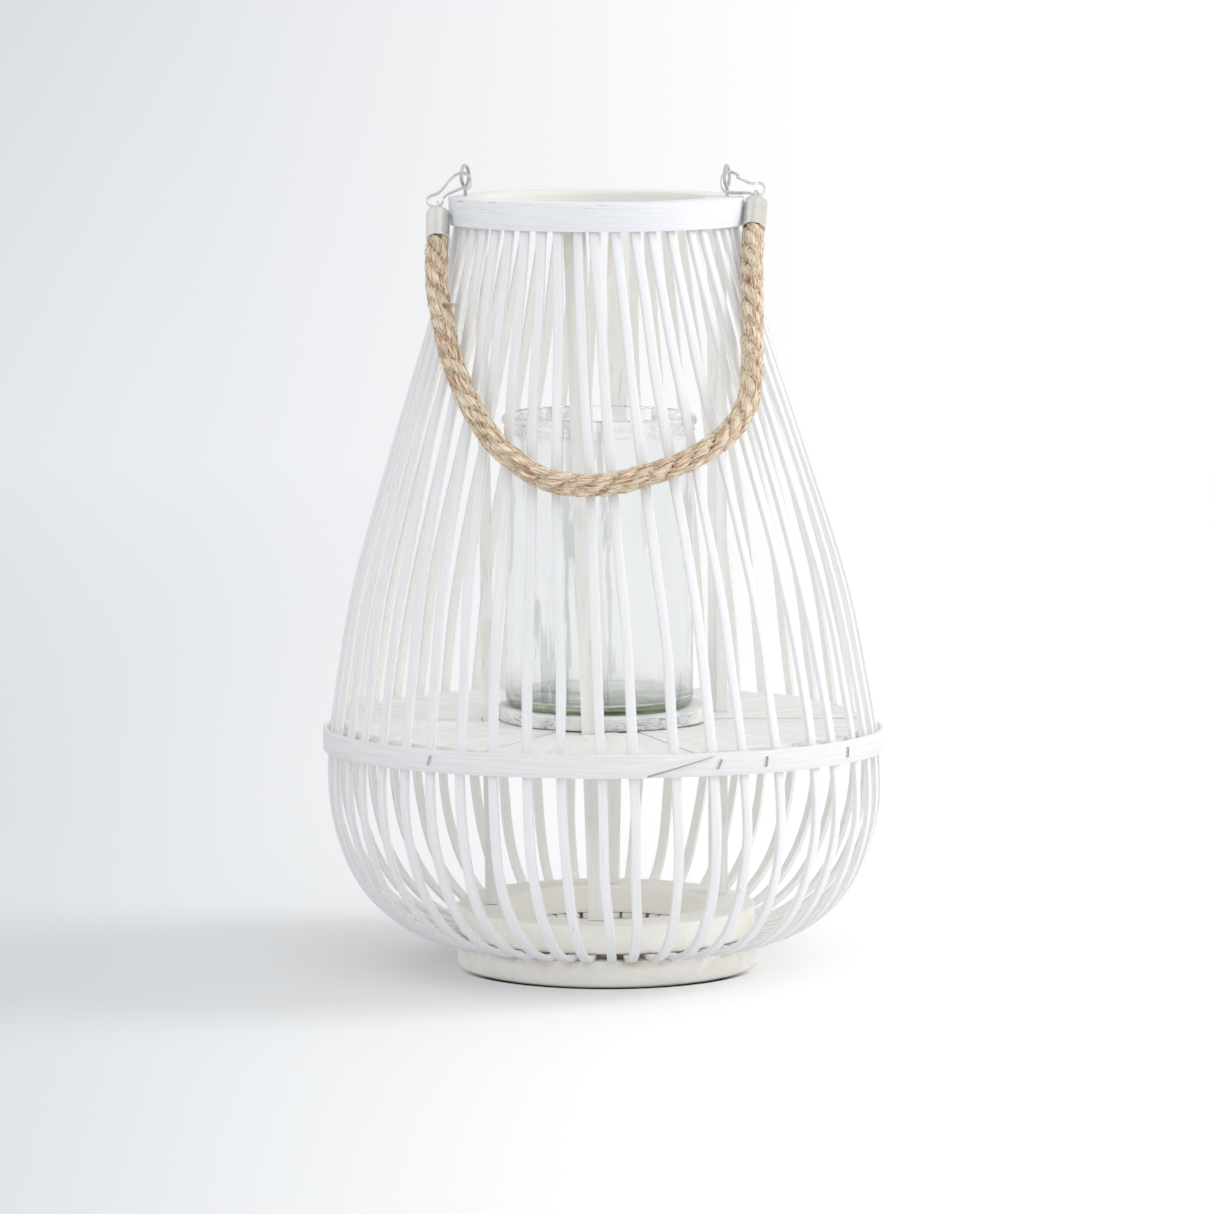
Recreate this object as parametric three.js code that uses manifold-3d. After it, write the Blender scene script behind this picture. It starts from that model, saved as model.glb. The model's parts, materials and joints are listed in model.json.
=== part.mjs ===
// A hurricane candle lantern: a pear-shaped cage of split-bamboo ribs between two
// turned wooden rings, a wooden shelf that carries a loose glass cylinder, and a
// jute rope handle clipped to two screw eyes.
// Millimetres, +Z up, origin in the middle of the foot's underside, front facing -Y.

import * as THREE from 'three';
import { mergeVertices } from 'three/addons/utils/BufferGeometryUtils.js';
import Module from 'manifold-3d';

const wasm = await Module();
wasm.setup();

// ---------------------------------------------------------------- dimensions

const FIT = 0.3; // air left between two pieces that touch
const CAGE_LEAN = 0.0138; // sideways drift toward -X for each unit of height
const ROUND_STEPS = 48; // flats around a turned ring

// Top ring, with a rebate on its rim for the rib ends and a thin band round them.
const TOP_Z = 398;
const RING_THICK = 14.3;
const RING_HOLE_R = 55;
const REBATE_R = 70;
const REBATE_LIP = 3.6;
const BAND_R = 75.8;
const BAND_THICK = 1.5;
const RING_UNDER_Z = TOP_Z - RING_THICK;

// Ribs: width round the cage, depth toward the axis, and the outer face from the
// top ring down to the base as [radius, height].
const RIB_COUNT = 48;
const RIB_WIDTH = 5;
const RIB_DEPTH = 2.8;
const RIB_LEAN = 1.9; // degrees every rib leans, the cage being set slightly twisted
const RIB_LEAN_Z = 110; // height about which the ribs lean
const BUTT_DEPTH = 6; // of the joined end of a rib pair, between the base rings
const BUTT_THICK = 2.1;
const RIB_FACE = [
  [72.7, 394],
  [73.1, 381],
  [87.5, 331],
  [106, 273],
  [127.3, 202],
  [137.5, 150],
  [142.2, 117],
  [143, 92],
  [140, 72],
  [132.5, 51],
  [121, 34],
  [106, 22],
  [91, 15.9],
  [79, 14.2],
  [58, 14.2],
];
// Degrees each hand-set rib stands off its even place, from the left flank round
// the front to the right flank. The ribs after these stand almost evenly.
const FIRST_SET_RIB = -10;
const BACK_RIB_SCATTER = 0.4;
const RIB_SETTING = [
  0.4, 1.2, 0.3, 0.3, 0.1, -0.3, -0.4, -0.3, -0.4, -0.9, -0.2, -1.2, -0.1, 0.5,
  -0.1, 1.0, 3.7, 3.0, 4.6, 4.4, 3.6, 2.9, 2.2, 1.4, 0.7,
];

// Base: a foot ring and an upper ring with the rib ends sandwiched between them.
const FOOT_R = 77.5;
const FOOT_HOLE_R = 50;
const FOOT_TOP_Z = 13.9;
const UPPER_R = 77;
const UPPER_HOLE_R = 52.5;
const UPPER_LOW_Z = 17.3;
const UPPER_TOP_Z = 32;

// Hoops round the outside and the inside of the ribs at the shelf.
const HOOP_R = 143.3; // inner face of the outer hoop
const HOOP_THICK = 1.8;
const HOOP_TALL = 11.6;
const HOOP_Z = 118.5;
const HOOP_TILT = 1.9; // degrees, front edge up
const HOOP_START = -8; // where the buried end of the strip lies
const HOOP_END = 382; // where the lapped end stops, one turn and 30 degrees later
const LAP_FROM = 322; // where the strip begins to ride up over its own start
const LAP_FULL = 350;
const SCARF_FROM = 368; // where the lapped end begins to taper to its top corner
const SCARF_TIP = 2; // height left at the very end
const HOOP_STEPS = 60;
const INNER_HOOP_R = 136.9;
const INNER_HOOP_THICK = 2.2;
const INNER_HOOP_LOW_Z = 118;
const INNER_HOOP_TOP_Z = 127;

// Staple crowns on the outer hoop, as degrees from the front and degrees of slant.
const STAPLES = [[-36.8, -20], [23.4, -25], [34, -10], [58, -5]];
const STAPLE_TALL = 4.6;
const STAPLE_WIDE = 1;
const STAPLE_THICK = 0.7;
const STAPLE_PROUD = 0.1; // air left under the crown

// Shelf boards, wedge-shaped, lying alternately a little higher and lower.
const SHELF_R = 134.3;
const SHELF_CORE_R = 12;
const SHELF_TOP_Z = 128;
const SHELF_STEP = 0.5;
const BOARD_THICK = 4;
const BOARD_SEAM = 0.5; // air between two boards
const BOARD_ARC = 8; // degrees or less between points on a board's round edge
const POST_NOTCH = 0.6; // air left round a post
const BOARD_EDGES = [-66, -26, -9, 8, 19.5, 52, 91, 140, 205, 294]; // degrees

// Round seat under the glass.
const SEAT_R = 54.6;
const SEAT_THICK = 7;
const SEAT_TOP_Z = SHELF_TOP_Z + FIT + SEAT_THICK;

// Posts between the base and the top ring, as degrees from the front, radius and
// degrees of lean.
const POST_WIDTH = 11;
const POST_DEPTH = 6;
const POSTS = {
  front: [-6.9, 58.8, 1.3],
  right: [114, 66, 1.3],
  rear: [173.5, 58.8, 1.8],
  left: [-88, 59.6, 1.3],
};

// Glass cylinder.
const GLASS_R = 48.5;
const GLASS_WALL = 2.8;
const GLASS_RIM_R = 50.5;
const GLASS_FLOOR = 4.5;
const GLASS_LOW_Z = SEAT_TOP_Z + FIT;
const GLASS_TALL = 150.8;
const GLASS_STEPS = 40;
const GLASS_OFF_X = -4; // the glass stands a little left of the middle

// Screw eyes. The handle swings about the line through the middles of their loops.
const EYE_X = 67.1;
const EYE_Z = 408.3;
const EYE_LOOP_R = 5.3;
const EYE_WIRE_R = 0.9;
const EYE_SHANK_R = 1.1;
const EYE_DEPTH = 9;
const EYE_TURN_LEFT = 20; // degrees each eye is screwed past square
const EYE_TURN_RIGHT = 15;

// Handle. Its parts are drawn flat in a plane: u runs along X, v runs down from the
// swing axis, and w stands square to both. Hung, that plane slopes to the front.
const HANG = 38.4; // degrees between the hung handle and straight down
const STRIP_WIDE = 2.4;
const STRIP_THICK = 0.7;
const EYELET_R = 2.4;
const EYELET_WIRE_R = 0.6;
const EYELET_ABOVE = 3; // middle of the eyelet's loop over the ferrule's crown
const FLANGE_R = 2.2;
const FLANGE_THICK = 0.7;
const FERRULE_R = 6.1;
const FERRULE_WALL = 0.9;
const FERRULE_TALL = 17.8;
const ROPE_R = 5.8;
const ROPE_GRIPPED = 14.6; // length of rope end held in a ferrule
const ROPE_SWELL = 1.8; // length over which it swells again below the ferrule
const ROPE_SIDES = 10;
const ROPE_STEPS = 34;

// ------------------------------------------------------------------ materials

function material(name, color, roughness, metalness = 0) {
  return new THREE.MeshStandardMaterial({ name, color, roughness, metalness });
}

const WHITEWASH = material('whitewashed_bamboo', 0xebecf0, 0.7);
const BASE_WOOD = material('whitewashed_wood', 0xe1dfd8, 0.75);
const SHELF_WOOD = material('whitewashed_board', 0xd9d8d4, 0.8);
const ROPE = material('jute_rope', 0xc9ab82, 0.95);
const NICKEL = material('nickel_plate', 0xc8c8be, 0.3, 1);
const ZINC = material('zinc_wire', 0xd2d4d6, 0.25, 1);
const STAPLE_STEEL = material('staple_steel', 0xb8babc, 0.5, 1);
const GLASS = material('clear_glass', 0xdfe9e4, 0.05);
GLASS.transparent = true;
GLASS.opacity = 0.35;

// ------------------------------------------------------------ geometry helpers

const rad = THREE.MathUtils.degToRad;

/** Welds a surface into one closed body with its faces turned outward. */
function closed(geometry) {
  geometry.deleteAttribute('normal');
  geometry.deleteAttribute('uv');
  const welded = mergeVertices(geometry, 1e-4);
  const positions = welded.attributes.position;
  const corner = (index) => new THREE.Vector3().fromBufferAttribute(positions, index);
  const triangles = [];
  let volume = 0;
  for (let start = 0; start < welded.index.count; start += 3) {
    const [a, b, c] = [0, 1, 2].map((step) => welded.index.getX(start + step));
    if (a === b || b === c || c === a) {
      continue;
    }
    triangles.push(a, b, c);
    volume += corner(a).dot(corner(b).cross(corner(c)));
  }
  if (volume < 0) {
    triangles.reverse();
  }
  welded.setIndex(triangles);
  welded.computeVertexNormals();
  return welded;
}

/** A body skinned over matching convex cross-sections, each a list of [x, y, z]. */
function loft(sections) {
  const sides = sections[0].length;
  const triangles = [];
  for (let step = 0; step < sections.length - 1; step += 1) {
    for (let side = 0; side < sides; side += 1) {
      const here = step * sides + side;
      const beside = step * sides + ((side + 1) % sides);
      triangles.push(here, beside, beside + sides);
      triangles.push(here, beside + sides, here + sides);
    }
  }
  const last = (sections.length - 1) * sides;
  for (let side = 1; side < sides - 1; side += 1) {
    triangles.push(0, side + 1, side);
    triangles.push(last, last + side, last + side + 1);
  }
  const geometry = new THREE.BufferGeometry();
  const positions = new Float32Array(sections.flat(2));
  geometry.setAttribute('position', new THREE.BufferAttribute(positions, 3));
  geometry.setIndex(triangles);
  return closed(geometry);
}

/** A body turned about Z from [radius, height] points: a loop, or a line whose
 * two ends lie on the axis. */
function turned(profile, steps = ROUND_STEPS) {
  const onAxis = profile[0][0] === 0;
  const outline = onAxis ? profile : [...profile, profile[0]];
  const points = outline.map(([radius, height]) => new THREE.Vector2(radius, height));
  return closed(new THREE.LatheGeometry(points, steps).rotateX(Math.PI / 2));
}

/** Turned ring of rectangular section, its corners eased by a set amount or none. */
function turnedRing(innerR, outerR, lowZ, topZ, ease) {
  return turned([
    [innerR + ease, lowZ],
    [outerR - ease, lowZ],
    [outerR, lowZ + ease],
    [outerR, topZ - ease],
    [outerR - ease, topZ],
    [innerR + ease, topZ],
    [innerR, topZ - ease],
    [innerR, lowZ + ease],
  ]);
}

function toSolid(geometry) {
  const mesh = new wasm.Mesh({
    numProp: 3,
    vertProperties: new Float32Array(geometry.attributes.position.array),
    triVerts: new Uint32Array(geometry.index.array),
  });
  return new wasm.Manifold(mesh);
}

function fromSolid(solid) {
  const mesh = solid.getMesh();
  const geometry = new THREE.BufferGeometry();
  const positions = new Float32Array(mesh.vertProperties);
  geometry.setAttribute('position', new THREE.BufferAttribute(positions, 3));
  geometry.setIndex([...mesh.triVerts]);
  return closed(geometry);
}

function joined(...geometries) {
  return fromSolid(wasm.Manifold.union(geometries.map(toSolid)));
}

function cutBy(geometry, ...cutters) {
  const cuts = wasm.Manifold.union(cutters.map(toSolid));
  return fromSolid(toSolid(geometry).subtract(cuts));
}

/** Box from one corner to the other. */
function box([x0, y0, z0], [x1, y1, z1]) {
  const layer = (z) => [[x0, y0, z], [x1, y0, z], [x1, y1, z], [x0, y1, z]];
  return loft([layer(z0), layer(z1)]);
}

/** Round pin standing along Z. */
function pin(radius, lowZ, topZ, sides = 10) {
  const layer = (z) =>
    Array.from({ length: sides }, (_, side) => {
      const angle = (2 * Math.PI * side) / sides;
      return [radius * Math.cos(angle), radius * Math.sin(angle), z];
    });
  return loft([layer(lowZ), layer(topZ)]);
}

/** Points a set distance to the left of a flat line of [a, b] points. */
function beside(line, distance) {
  return line.map(([a, b], index) => {
    const [aBefore, bBefore] = line[Math.max(index - 1, 0)];
    const [aAfter, bAfter] = line[Math.min(index + 1, line.length - 1)];
    const length = Math.hypot(aAfter - aBefore, bAfter - bBefore);
    const left = [(bBefore - bAfter) / length, (aAfter - aBefore) / length];
    return [a + distance * left[0], b + distance * left[1]];
  });
}

/** Leans a piece drawn at the front so that its top goes toward -X. */
function leaned(geometry, degrees, pivotZ) {
  geometry.translate(0, 0, -pivotZ);
  geometry.rotateY(-rad(degrees));
  return geometry.translate(0, 0, pivotZ);
}

/** Turns a piece drawn at the front to its place, degrees counted toward +X. */
function stoodAt(geometry, degrees) {
  return geometry.rotateZ(rad(degrees));
}

// -------------------------------------------------------------------- assembly

const lantern = new THREE.Group();
lantern.name = 'hurricane_candle_lantern';

function addUpright(name, geometry, look) {
  const mesh = new THREE.Mesh(geometry, look);
  mesh.name = name;
  lantern.add(mesh);
}

/** Adds a piece of the hand-set cage or its handle, with the cage's lean. */
function addPiece(name, geometry, look) {
  const lean = new THREE.Matrix4().makeShear(0, 0, 0, 0, -CAGE_LEAN, 0);
  addUpright(name, geometry.applyMatrix4(lean), look);
}

// -------------------------------------------------------------- rings and base

/** Top ring with its rebated rim and a pilot hole for each screw eye. */
function topRing() {
  const ring = turned([
    [RING_HOLE_R, RING_UNDER_Z + 1],
    [RING_HOLE_R + 1, RING_UNDER_Z],
    [REBATE_R, RING_UNDER_Z],
    [REBATE_R, TOP_Z - REBATE_LIP],
    [BAND_R - BAND_THICK - FIT, TOP_Z - REBATE_LIP],
    [BAND_R - BAND_THICK - FIT, TOP_Z],
    [RING_HOLE_R + 1.5, TOP_Z],
    [RING_HOLE_R, TOP_Z - 1.5],
  ]);
  const holes = [-EYE_X, EYE_X].map((x) =>
    pin(EYE_SHANK_R + FIT, TOP_Z - EYE_DEPTH - FIT, TOP_Z + 1).translate(x, 0, 0),
  );
  return cutBy(ring, ...holes);
}

addPiece('top_ring', topRing(), BASE_WOOD);
addPiece(
  'top_band',
  turnedRing(BAND_R - BAND_THICK, BAND_R, RING_UNDER_Z, TOP_Z, 0),
  WHITEWASH,
);
addPiece('foot_ring', turnedRing(FOOT_HOLE_R, FOOT_R, 0, FOOT_TOP_Z, 1), BASE_WOOD);
addPiece(
  'base_ring_upper',
  turnedRing(UPPER_HOLE_R, UPPER_R, UPPER_LOW_Z, UPPER_TOP_Z, 1),
  BASE_WOOD,
);

// ------------------------------------------------------------------------ ribs

function ribAngle(rib) {
  const fromFirst = (rib - FIRST_SET_RIB + RIB_COUNT) % RIB_COUNT;
  const setting = RIB_SETTING[fromFirst] ?? BACK_RIB_SCATTER * Math.sin(2.4 * rib);
  return (360 / RIB_COUNT) * (FIRST_SET_RIB + fromFirst) + setting;
}

/** One rib, a flat strip bent over the pear outline, standing at its angle. */
function rib(angle) {
  const half = RIB_WIDTH / 2;
  const back = beside(RIB_FACE, -RIB_DEPTH);
  const sections = RIB_FACE.map(([radius, z], index) => {
    const [backR, backZ] = back[index];
    return [[-half, -radius, z], [half, -radius, z], [half, -backR, backZ], [-half, -backR, backZ]];
  });
  return stoodAt(leaned(loft(sections), RIB_LEAN, RIB_LEAN_Z), angle);
}

/** Two neighbouring ribs split from one cane, still joined at the butt end that
 * is held between the base rings. */
function ribPair(pair) {
  const [first, second] = [ribAngle(2 * pair), ribAngle(2 * pair + 1)];
  const [buttR, buttZ] = RIB_FACE[RIB_FACE.length - 1];
  const outR = buttR + 1 + BUTT_DEPTH;
  const lowZ = buttZ + FIT;
  const half = (buttR + 4) * Math.sin(rad(Math.abs(second - first) / 2));
  const butt = box([-half, -outR, lowZ], [half, -buttR - 1, lowZ + BUTT_THICK]);
  leaned(butt, RIB_LEAN, RIB_LEAN_Z);
  return joined(rib(first), rib(second), stoodAt(butt, (first + second) / 2));
}

for (let pair = 0; pair < RIB_COUNT / 2; pair += 1) {
  const number = String(pair + 1).padStart(2, '0');
  addPiece(`rib_pair_${number}`, ribPair(pair), WHITEWASH);
}

// ----------------------------------------------------------------------- hoops

/** Outer hoop: one thin strip wrapped past a full turn, its end lapped over its
 * start and cut on a slant. */
function outerHoop() {
  const sections = Array.from({ length: HOOP_STEPS + 1 }, (_, step) => {
    const degrees = HOOP_START + ((HOOP_END - HOOP_START) * step) / HOOP_STEPS;
    const lap = THREE.MathUtils.clamp((degrees - LAP_FROM) / (LAP_FULL - LAP_FROM), 0, 1);
    const taper = Math.max(0, (degrees - SCARF_FROM) / (HOOP_END - SCARF_FROM));
    const inner = HOOP_R + lap * (HOOP_THICK + FIT);
    const outer = inner + HOOP_THICK;
    const top = HOOP_TALL / 2;
    const low = -top + taper * (HOOP_TALL - SCARF_TIP);
    const [x, y] = [Math.sin(rad(degrees)), -Math.cos(rad(degrees))];
    return [
      [inner * x, inner * y, low],
      [outer * x, outer * y, low],
      [outer * x, outer * y, top],
      [inner * x, inner * y, top],
    ];
  });
  return loft(sections).rotateX(-rad(HOOP_TILT)).translate(0, 0, HOOP_Z);
}

/** Crown of a staple driven through the outer hoop. */
function staple(degrees, slant) {
  const face = HOOP_R + HOOP_THICK + STAPLE_PROUD;
  const [across, up] = [STAPLE_WIDE / 2, STAPLE_TALL / 2];
  const crown = box([-across, -face - STAPLE_THICK, -up], [across, -face, up]);
  stoodAt(crown.rotateY(rad(slant)), degrees);
  return crown.rotateX(-rad(HOOP_TILT)).translate(0, 0, HOOP_Z);
}

addPiece('hoop_outer', outerHoop(), WHITEWASH);
addPiece(
  'hoop_inner',
  turnedRing(
    INNER_HOOP_R - INNER_HOOP_THICK,
    INNER_HOOP_R,
    INNER_HOOP_LOW_Z,
    INNER_HOOP_TOP_Z,
    0,
  ),
  WHITEWASH,
);
STAPLES.forEach(([degrees, slant], index) => {
  addPiece(`staple_${index + 1}`, staple(degrees, slant), STAPLE_STEEL);
});

// ----------------------------------------------------------------------- posts

/** A post, or with a margin the room that a board leaves for it. */
function post([degrees, radius, lean], margin = 0) {
  const across = POST_WIDTH / 2 + margin;
  const near = radius - POST_DEPTH / 2 - margin;
  const far = radius + POST_DEPTH / 2 + margin;
  const low = UPPER_TOP_Z + FIT;
  const top = RING_UNDER_Z - FIT;
  const slat = box([-across, -far, low], [across, -near, top]);
  return stoodAt(leaned(slat, lean, (low + top) / 2), degrees);
}

for (const [side, place] of Object.entries(POSTS)) {
  addPiece(`post_${side}`, post(place), BASE_WOOD);
}

// ----------------------------------------------------------------------- shelf

/** Wedge board between two seams, notched round the posts. */
function shelfBoard(fromDegrees, toDegrees, topZ) {
  const outline = [];
  const place = (radius, degrees, shift) => {
    const angle = rad(degrees) + shift / radius;
    return [radius * Math.sin(angle), -radius * Math.cos(angle)];
  };
  const halfSeam = BOARD_SEAM / 2;
  const arcs = Math.ceil((toDegrees - fromDegrees) / BOARD_ARC);
  outline.push(place(SHELF_CORE_R, toDegrees, -halfSeam));
  outline.push(place(SHELF_CORE_R, fromDegrees, halfSeam));
  for (let arc = 0; arc <= arcs; arc += 1) {
    const shift = arc === 0 ? halfSeam : arc === arcs ? -halfSeam : 0;
    const degrees = fromDegrees + ((toDegrees - fromDegrees) * arc) / arcs;
    outline.push(place(SHELF_R, degrees, shift));
  }
  const layer = (z) => outline.map(([x, y]) => [x, y, z]);
  const board = loft([layer(topZ - BOARD_THICK), layer(topZ)]);
  const notches = Object.values(POSTS).map((spot) => post(spot, POST_NOTCH));
  return cutBy(board, ...notches);
}

for (let board = 0; board < BOARD_EDGES.length - 1; board += 1) {
  const isLow = board % 2 === 1;
  const topZ = SHELF_TOP_Z - (isLow ? SHELF_STEP : 0);
  const geometry = shelfBoard(BOARD_EDGES[board], BOARD_EDGES[board + 1], topZ);
  addPiece(`shelf_board_${board + 1}`, geometry, SHELF_WOOD);
}

function glassSeat() {
  return turned([
    [0, SEAT_TOP_Z - SEAT_THICK],
    [SEAT_R - 1, SEAT_TOP_Z - SEAT_THICK],
    [SEAT_R, SEAT_TOP_Z - SEAT_THICK + 1],
    [SEAT_R, SEAT_TOP_Z - 1],
    [SEAT_R - 1, SEAT_TOP_Z],
    [0, SEAT_TOP_Z],
  ]);
}

addPiece('glass_seat', glassSeat(), BASE_WOOD);

// ----------------------------------------------------------------------- glass

/** Straight-sided glass with a thick floor and a fire-rounded, beaded rim. */
function hurricaneGlass() {
  const low = GLASS_LOW_Z;
  const top = low + GLASS_TALL;
  const boreR = GLASS_R - GLASS_WALL;
  const profile = [
    [0, low],
    [GLASS_R - 3, low],
    [GLASS_R - 0.6, low + 1],
    [GLASS_R, low + 4],
    [GLASS_R, top - 9],
    [GLASS_R + 0.8, top - 7.6],
    [GLASS_R, top - 6.2],
    [GLASS_RIM_R, top - 4],
    [GLASS_RIM_R, top - 1.8],
    [GLASS_RIM_R - 1.6, top],
    [boreR + 1.4, top],
    [boreR, top - 2.4],
    [boreR, low + GLASS_FLOOR + 3],
    [boreR - 0.8, low + GLASS_FLOOR + 0.9],
    [boreR - 2.6, low + GLASS_FLOOR],
    [0, low + GLASS_FLOOR],
  ];
  return turned(profile, GLASS_STEPS).translate(GLASS_OFF_X, 0, 0);
}

addUpright('hurricane_glass', hurricaneGlass(), GLASS);

// ------------------------------------------------------------------ screw eyes

function screwEye(x, turnDegrees) {
  const loop = closed(new THREE.TorusGeometry(EYE_LOOP_R, EYE_WIRE_R, 6, 20));
  loop.rotateY(Math.PI / 2);
  loop.rotateZ(rad(turnDegrees));
  loop.translate(0, 0, EYE_Z);
  const shank = pin(EYE_SHANK_R, TOP_Z - EYE_DEPTH, EYE_Z - EYE_LOOP_R);
  return joined(loop, shank).translate(x, 0, 0);
}

addPiece('screw_eye_left', screwEye(-EYE_X, -EYE_TURN_LEFT), ZINC);
addPiece('screw_eye_right', screwEye(EYE_X, -EYE_TURN_RIGHT), ZINC);

// ---------------------------------------------------------------------- handle

/** Moves a piece drawn in the handle's own u, v, w into the hung handle. */
function hung(geometry) {
  const [sin, cos] = [Math.sin(rad(HANG)), Math.cos(rad(HANG))];
  const along = new THREE.Vector3(1, 0, 0);
  const down = new THREE.Vector3(0, -sin, -cos);
  const square = new THREE.Vector3(0, cos, -sin);
  const place = new THREE.Matrix4().makeBasis(along, down, square);
  place.setPosition(0, 0, EYE_Z);
  return geometry.applyMatrix4(place);
}

/** Flat strip bent along a line of [u, v] points, as wide as w. */
function bentStrip(line) {
  const half = STRIP_WIDE / 2;
  const left = beside(line, STRIP_THICK / 2);
  const right = beside(line, -STRIP_THICK / 2);
  return loft(line.map((_, index) => [
    [...left[index], -half],
    [...right[index], -half],
    [...right[index], half],
    [...left[index], half],
  ]));
}

// The two ends of the handle. Each clip is a bent spring strip seen square on, its
// gate being the strip's free arm. The crown is where the top of the ferrule hangs,
// slant is degrees the ferrule hangs inward, turn is how far its eyelet is twisted.
const LEFT_END = {
  side: -1,
  frame: [
    [67.2, 8.6],
    [65, 7.4],
    [63.9, 5.3],
    [64, 2.4],
    [65.8, -0.6],
    [68.4, -1.6],
    [71.4, -0.9],
    [74.4, 2],
    [77.6, 6.6],
    [80.2, 10.2],
    [82.5, 11.7],
    [85.1, 12.8],
    [86.6, 14.8],
    [86.3, 17.2],
    [84.6, 19],
    [82.2, 19.5],
    [79.9, 18.6],
    [78.4, 16.2],
  ],
  gate: [[78.1, 13.9], [76.3, 11.6], [74, 10.4], [70.8, 8.7], [67.4, 7]],
  crown: [80.9, 22.2],
  slant: 0,
  turn: 0,
};
const RIGHT_END = {
  side: 1,
  frame: [
    [73.3, 0],
    [70.9, -1.8],
    [68.5, -2.5],
    [66.2, -1.8],
    [64.5, 0.4],
    [63.8, 3.7],
    [64.2, 7.2],
    [65.8, 9.6],
    [68.6, 10.4],
    [72.4, 10.6],
    [76, 10.6],
    [78.8, 11.2],
    [81, 12.1],
    [83, 12.3],
    [84.9, 11.4],
    [86.1, 9.5],
    [86.2, 7.2],
    [85, 5.2],
    [83, 4.4],
  ],
  gate: [[81.9, 4.7], [79.6, 4.9], [76.2, 3.3], [72, 0.8]],
  crown: [81.8, 15.2],
  slant: 5.5,
  turn: 25,
};

function mirroredTo(side, line) {
  return line.map(([u, v]) => [side * u, v]);
}

/** Hangs a piece drawn below the middle of a ferrule's crown at its handle end. */
function underCrown(geometry, end) {
  const [u, v] = end.crown;
  return hung(geometry.rotateZ(rad(end.side * end.slant)).translate(end.side * u, v, 0));
}

/** Wire loop on a round flange that stands on the ferrule's crown. */
function ferruleEyelet(turnDegrees) {
  const loop = closed(new THREE.TorusGeometry(EYELET_R, EYELET_WIRE_R, 6, 14));
  loop.rotateY(Math.PI / 2 + rad(turnDegrees));
  const flange = pin(FLANGE_R, 0, FLANGE_THICK).rotateX(-Math.PI / 2);
  flange.translate(0, EYELET_ABOVE - FLANGE_THICK - 0.1, 0);
  return joined(loop, flange).translate(0, -EYELET_ABOVE, 0);
}

/** Metal cup crimped on the end of the rope, its mouth down. */
function ferrule() {
  const bore = FERRULE_R - FERRULE_WALL;
  const cup = turned(
    [
      [0, 0],
      [FERRULE_R - 1, 0],
      [FERRULE_R, 1],
      [FERRULE_R, FERRULE_TALL],
      [bore, FERRULE_TALL],
      [bore, FERRULE_WALL],
      [0, FERRULE_WALL],
    ],
    20,
  );
  return cup.rotateX(-Math.PI / 2);
}

// The rope's middle line from ferrule to ferrule as [u, v].
const ROPE_LINE = [
  [-80.9, 25.2],
  [-80.9, 33],
  [-81, 41],
  [-81.7, 55],
  [-80.9, 72],
  [-78, 90],
  [-75, 108],
  [-69.8, 126],
  [-62.8, 144],
  [-53.3, 161.5],
  [-39.5, 176.5],
  [-24.5, 186],
  [-8, 188.5],
  [8, 187.2],
  [24, 182.5],
  [41, 175.5],
  [57, 164.8],
  [68.5, 152],
  [75, 137],
  [77.2, 119],
  [77.6, 100],
  [78.2, 82],
  [78.4, 64],
  [78.8, 48],
  [79.9, 34.5],
  [80.7, 26.5],
  [81.5, 18.2],
];

/** The rope as one round body, drawn thin where the ferrules grip it. */
function rope() {
  const flat = ROPE_LINE.map(([u, v]) => new THREE.Vector3(u, v, 0));
  const curve = new THREE.CatmullRomCurve3(flat, false, 'centripetal');
  const gripped = ROPE_GRIPPED / curve.getLength();
  const swelled = gripped + ROPE_SWELL / curve.getLength();
  const stations = [0, gripped];
  for (let step = 0; step <= ROPE_STEPS; step += 1) {
    stations.push(swelled + ((1 - 2 * swelled) * step) / ROPE_STEPS);
  }
  stations.push(1 - gripped, 1);
  const sections = stations.map((station) => {
    const centre = curve.getPointAt(station);
    const tangent = curve.getTangentAt(station);
    const inCup = station < swelled || station > 1 - swelled;
    const radius = inCup ? FERRULE_R - FERRULE_WALL - 2 * FIT : ROPE_R;
    return Array.from({ length: ROPE_SIDES }, (_, side) => {
      const turn = (2 * Math.PI * side) / ROPE_SIDES;
      const out = radius * Math.cos(turn);
      return [centre.x - out * tangent.y, centre.y + out * tangent.x, radius * Math.sin(turn)];
    });
  });
  return loft(sections);
}

addPiece('rope', hung(rope()), ROPE);
for (const [name, end] of [['left', LEFT_END], ['right', RIGHT_END]]) {
  addPiece(`snap_clip_${name}`, hung(bentStrip(mirroredTo(end.side, end.frame))), NICKEL);
  addPiece(`clip_gate_${name}`, hung(bentStrip(mirroredTo(end.side, end.gate))), NICKEL);
  addPiece(`ferrule_eyelet_${name}`, underCrown(ferruleEyelet(end.turn), end), NICKEL);
  addPiece(`ferrule_${name}`, underCrown(ferrule(), end), NICKEL);
}

export default lantern;
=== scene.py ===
import json
import math

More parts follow.
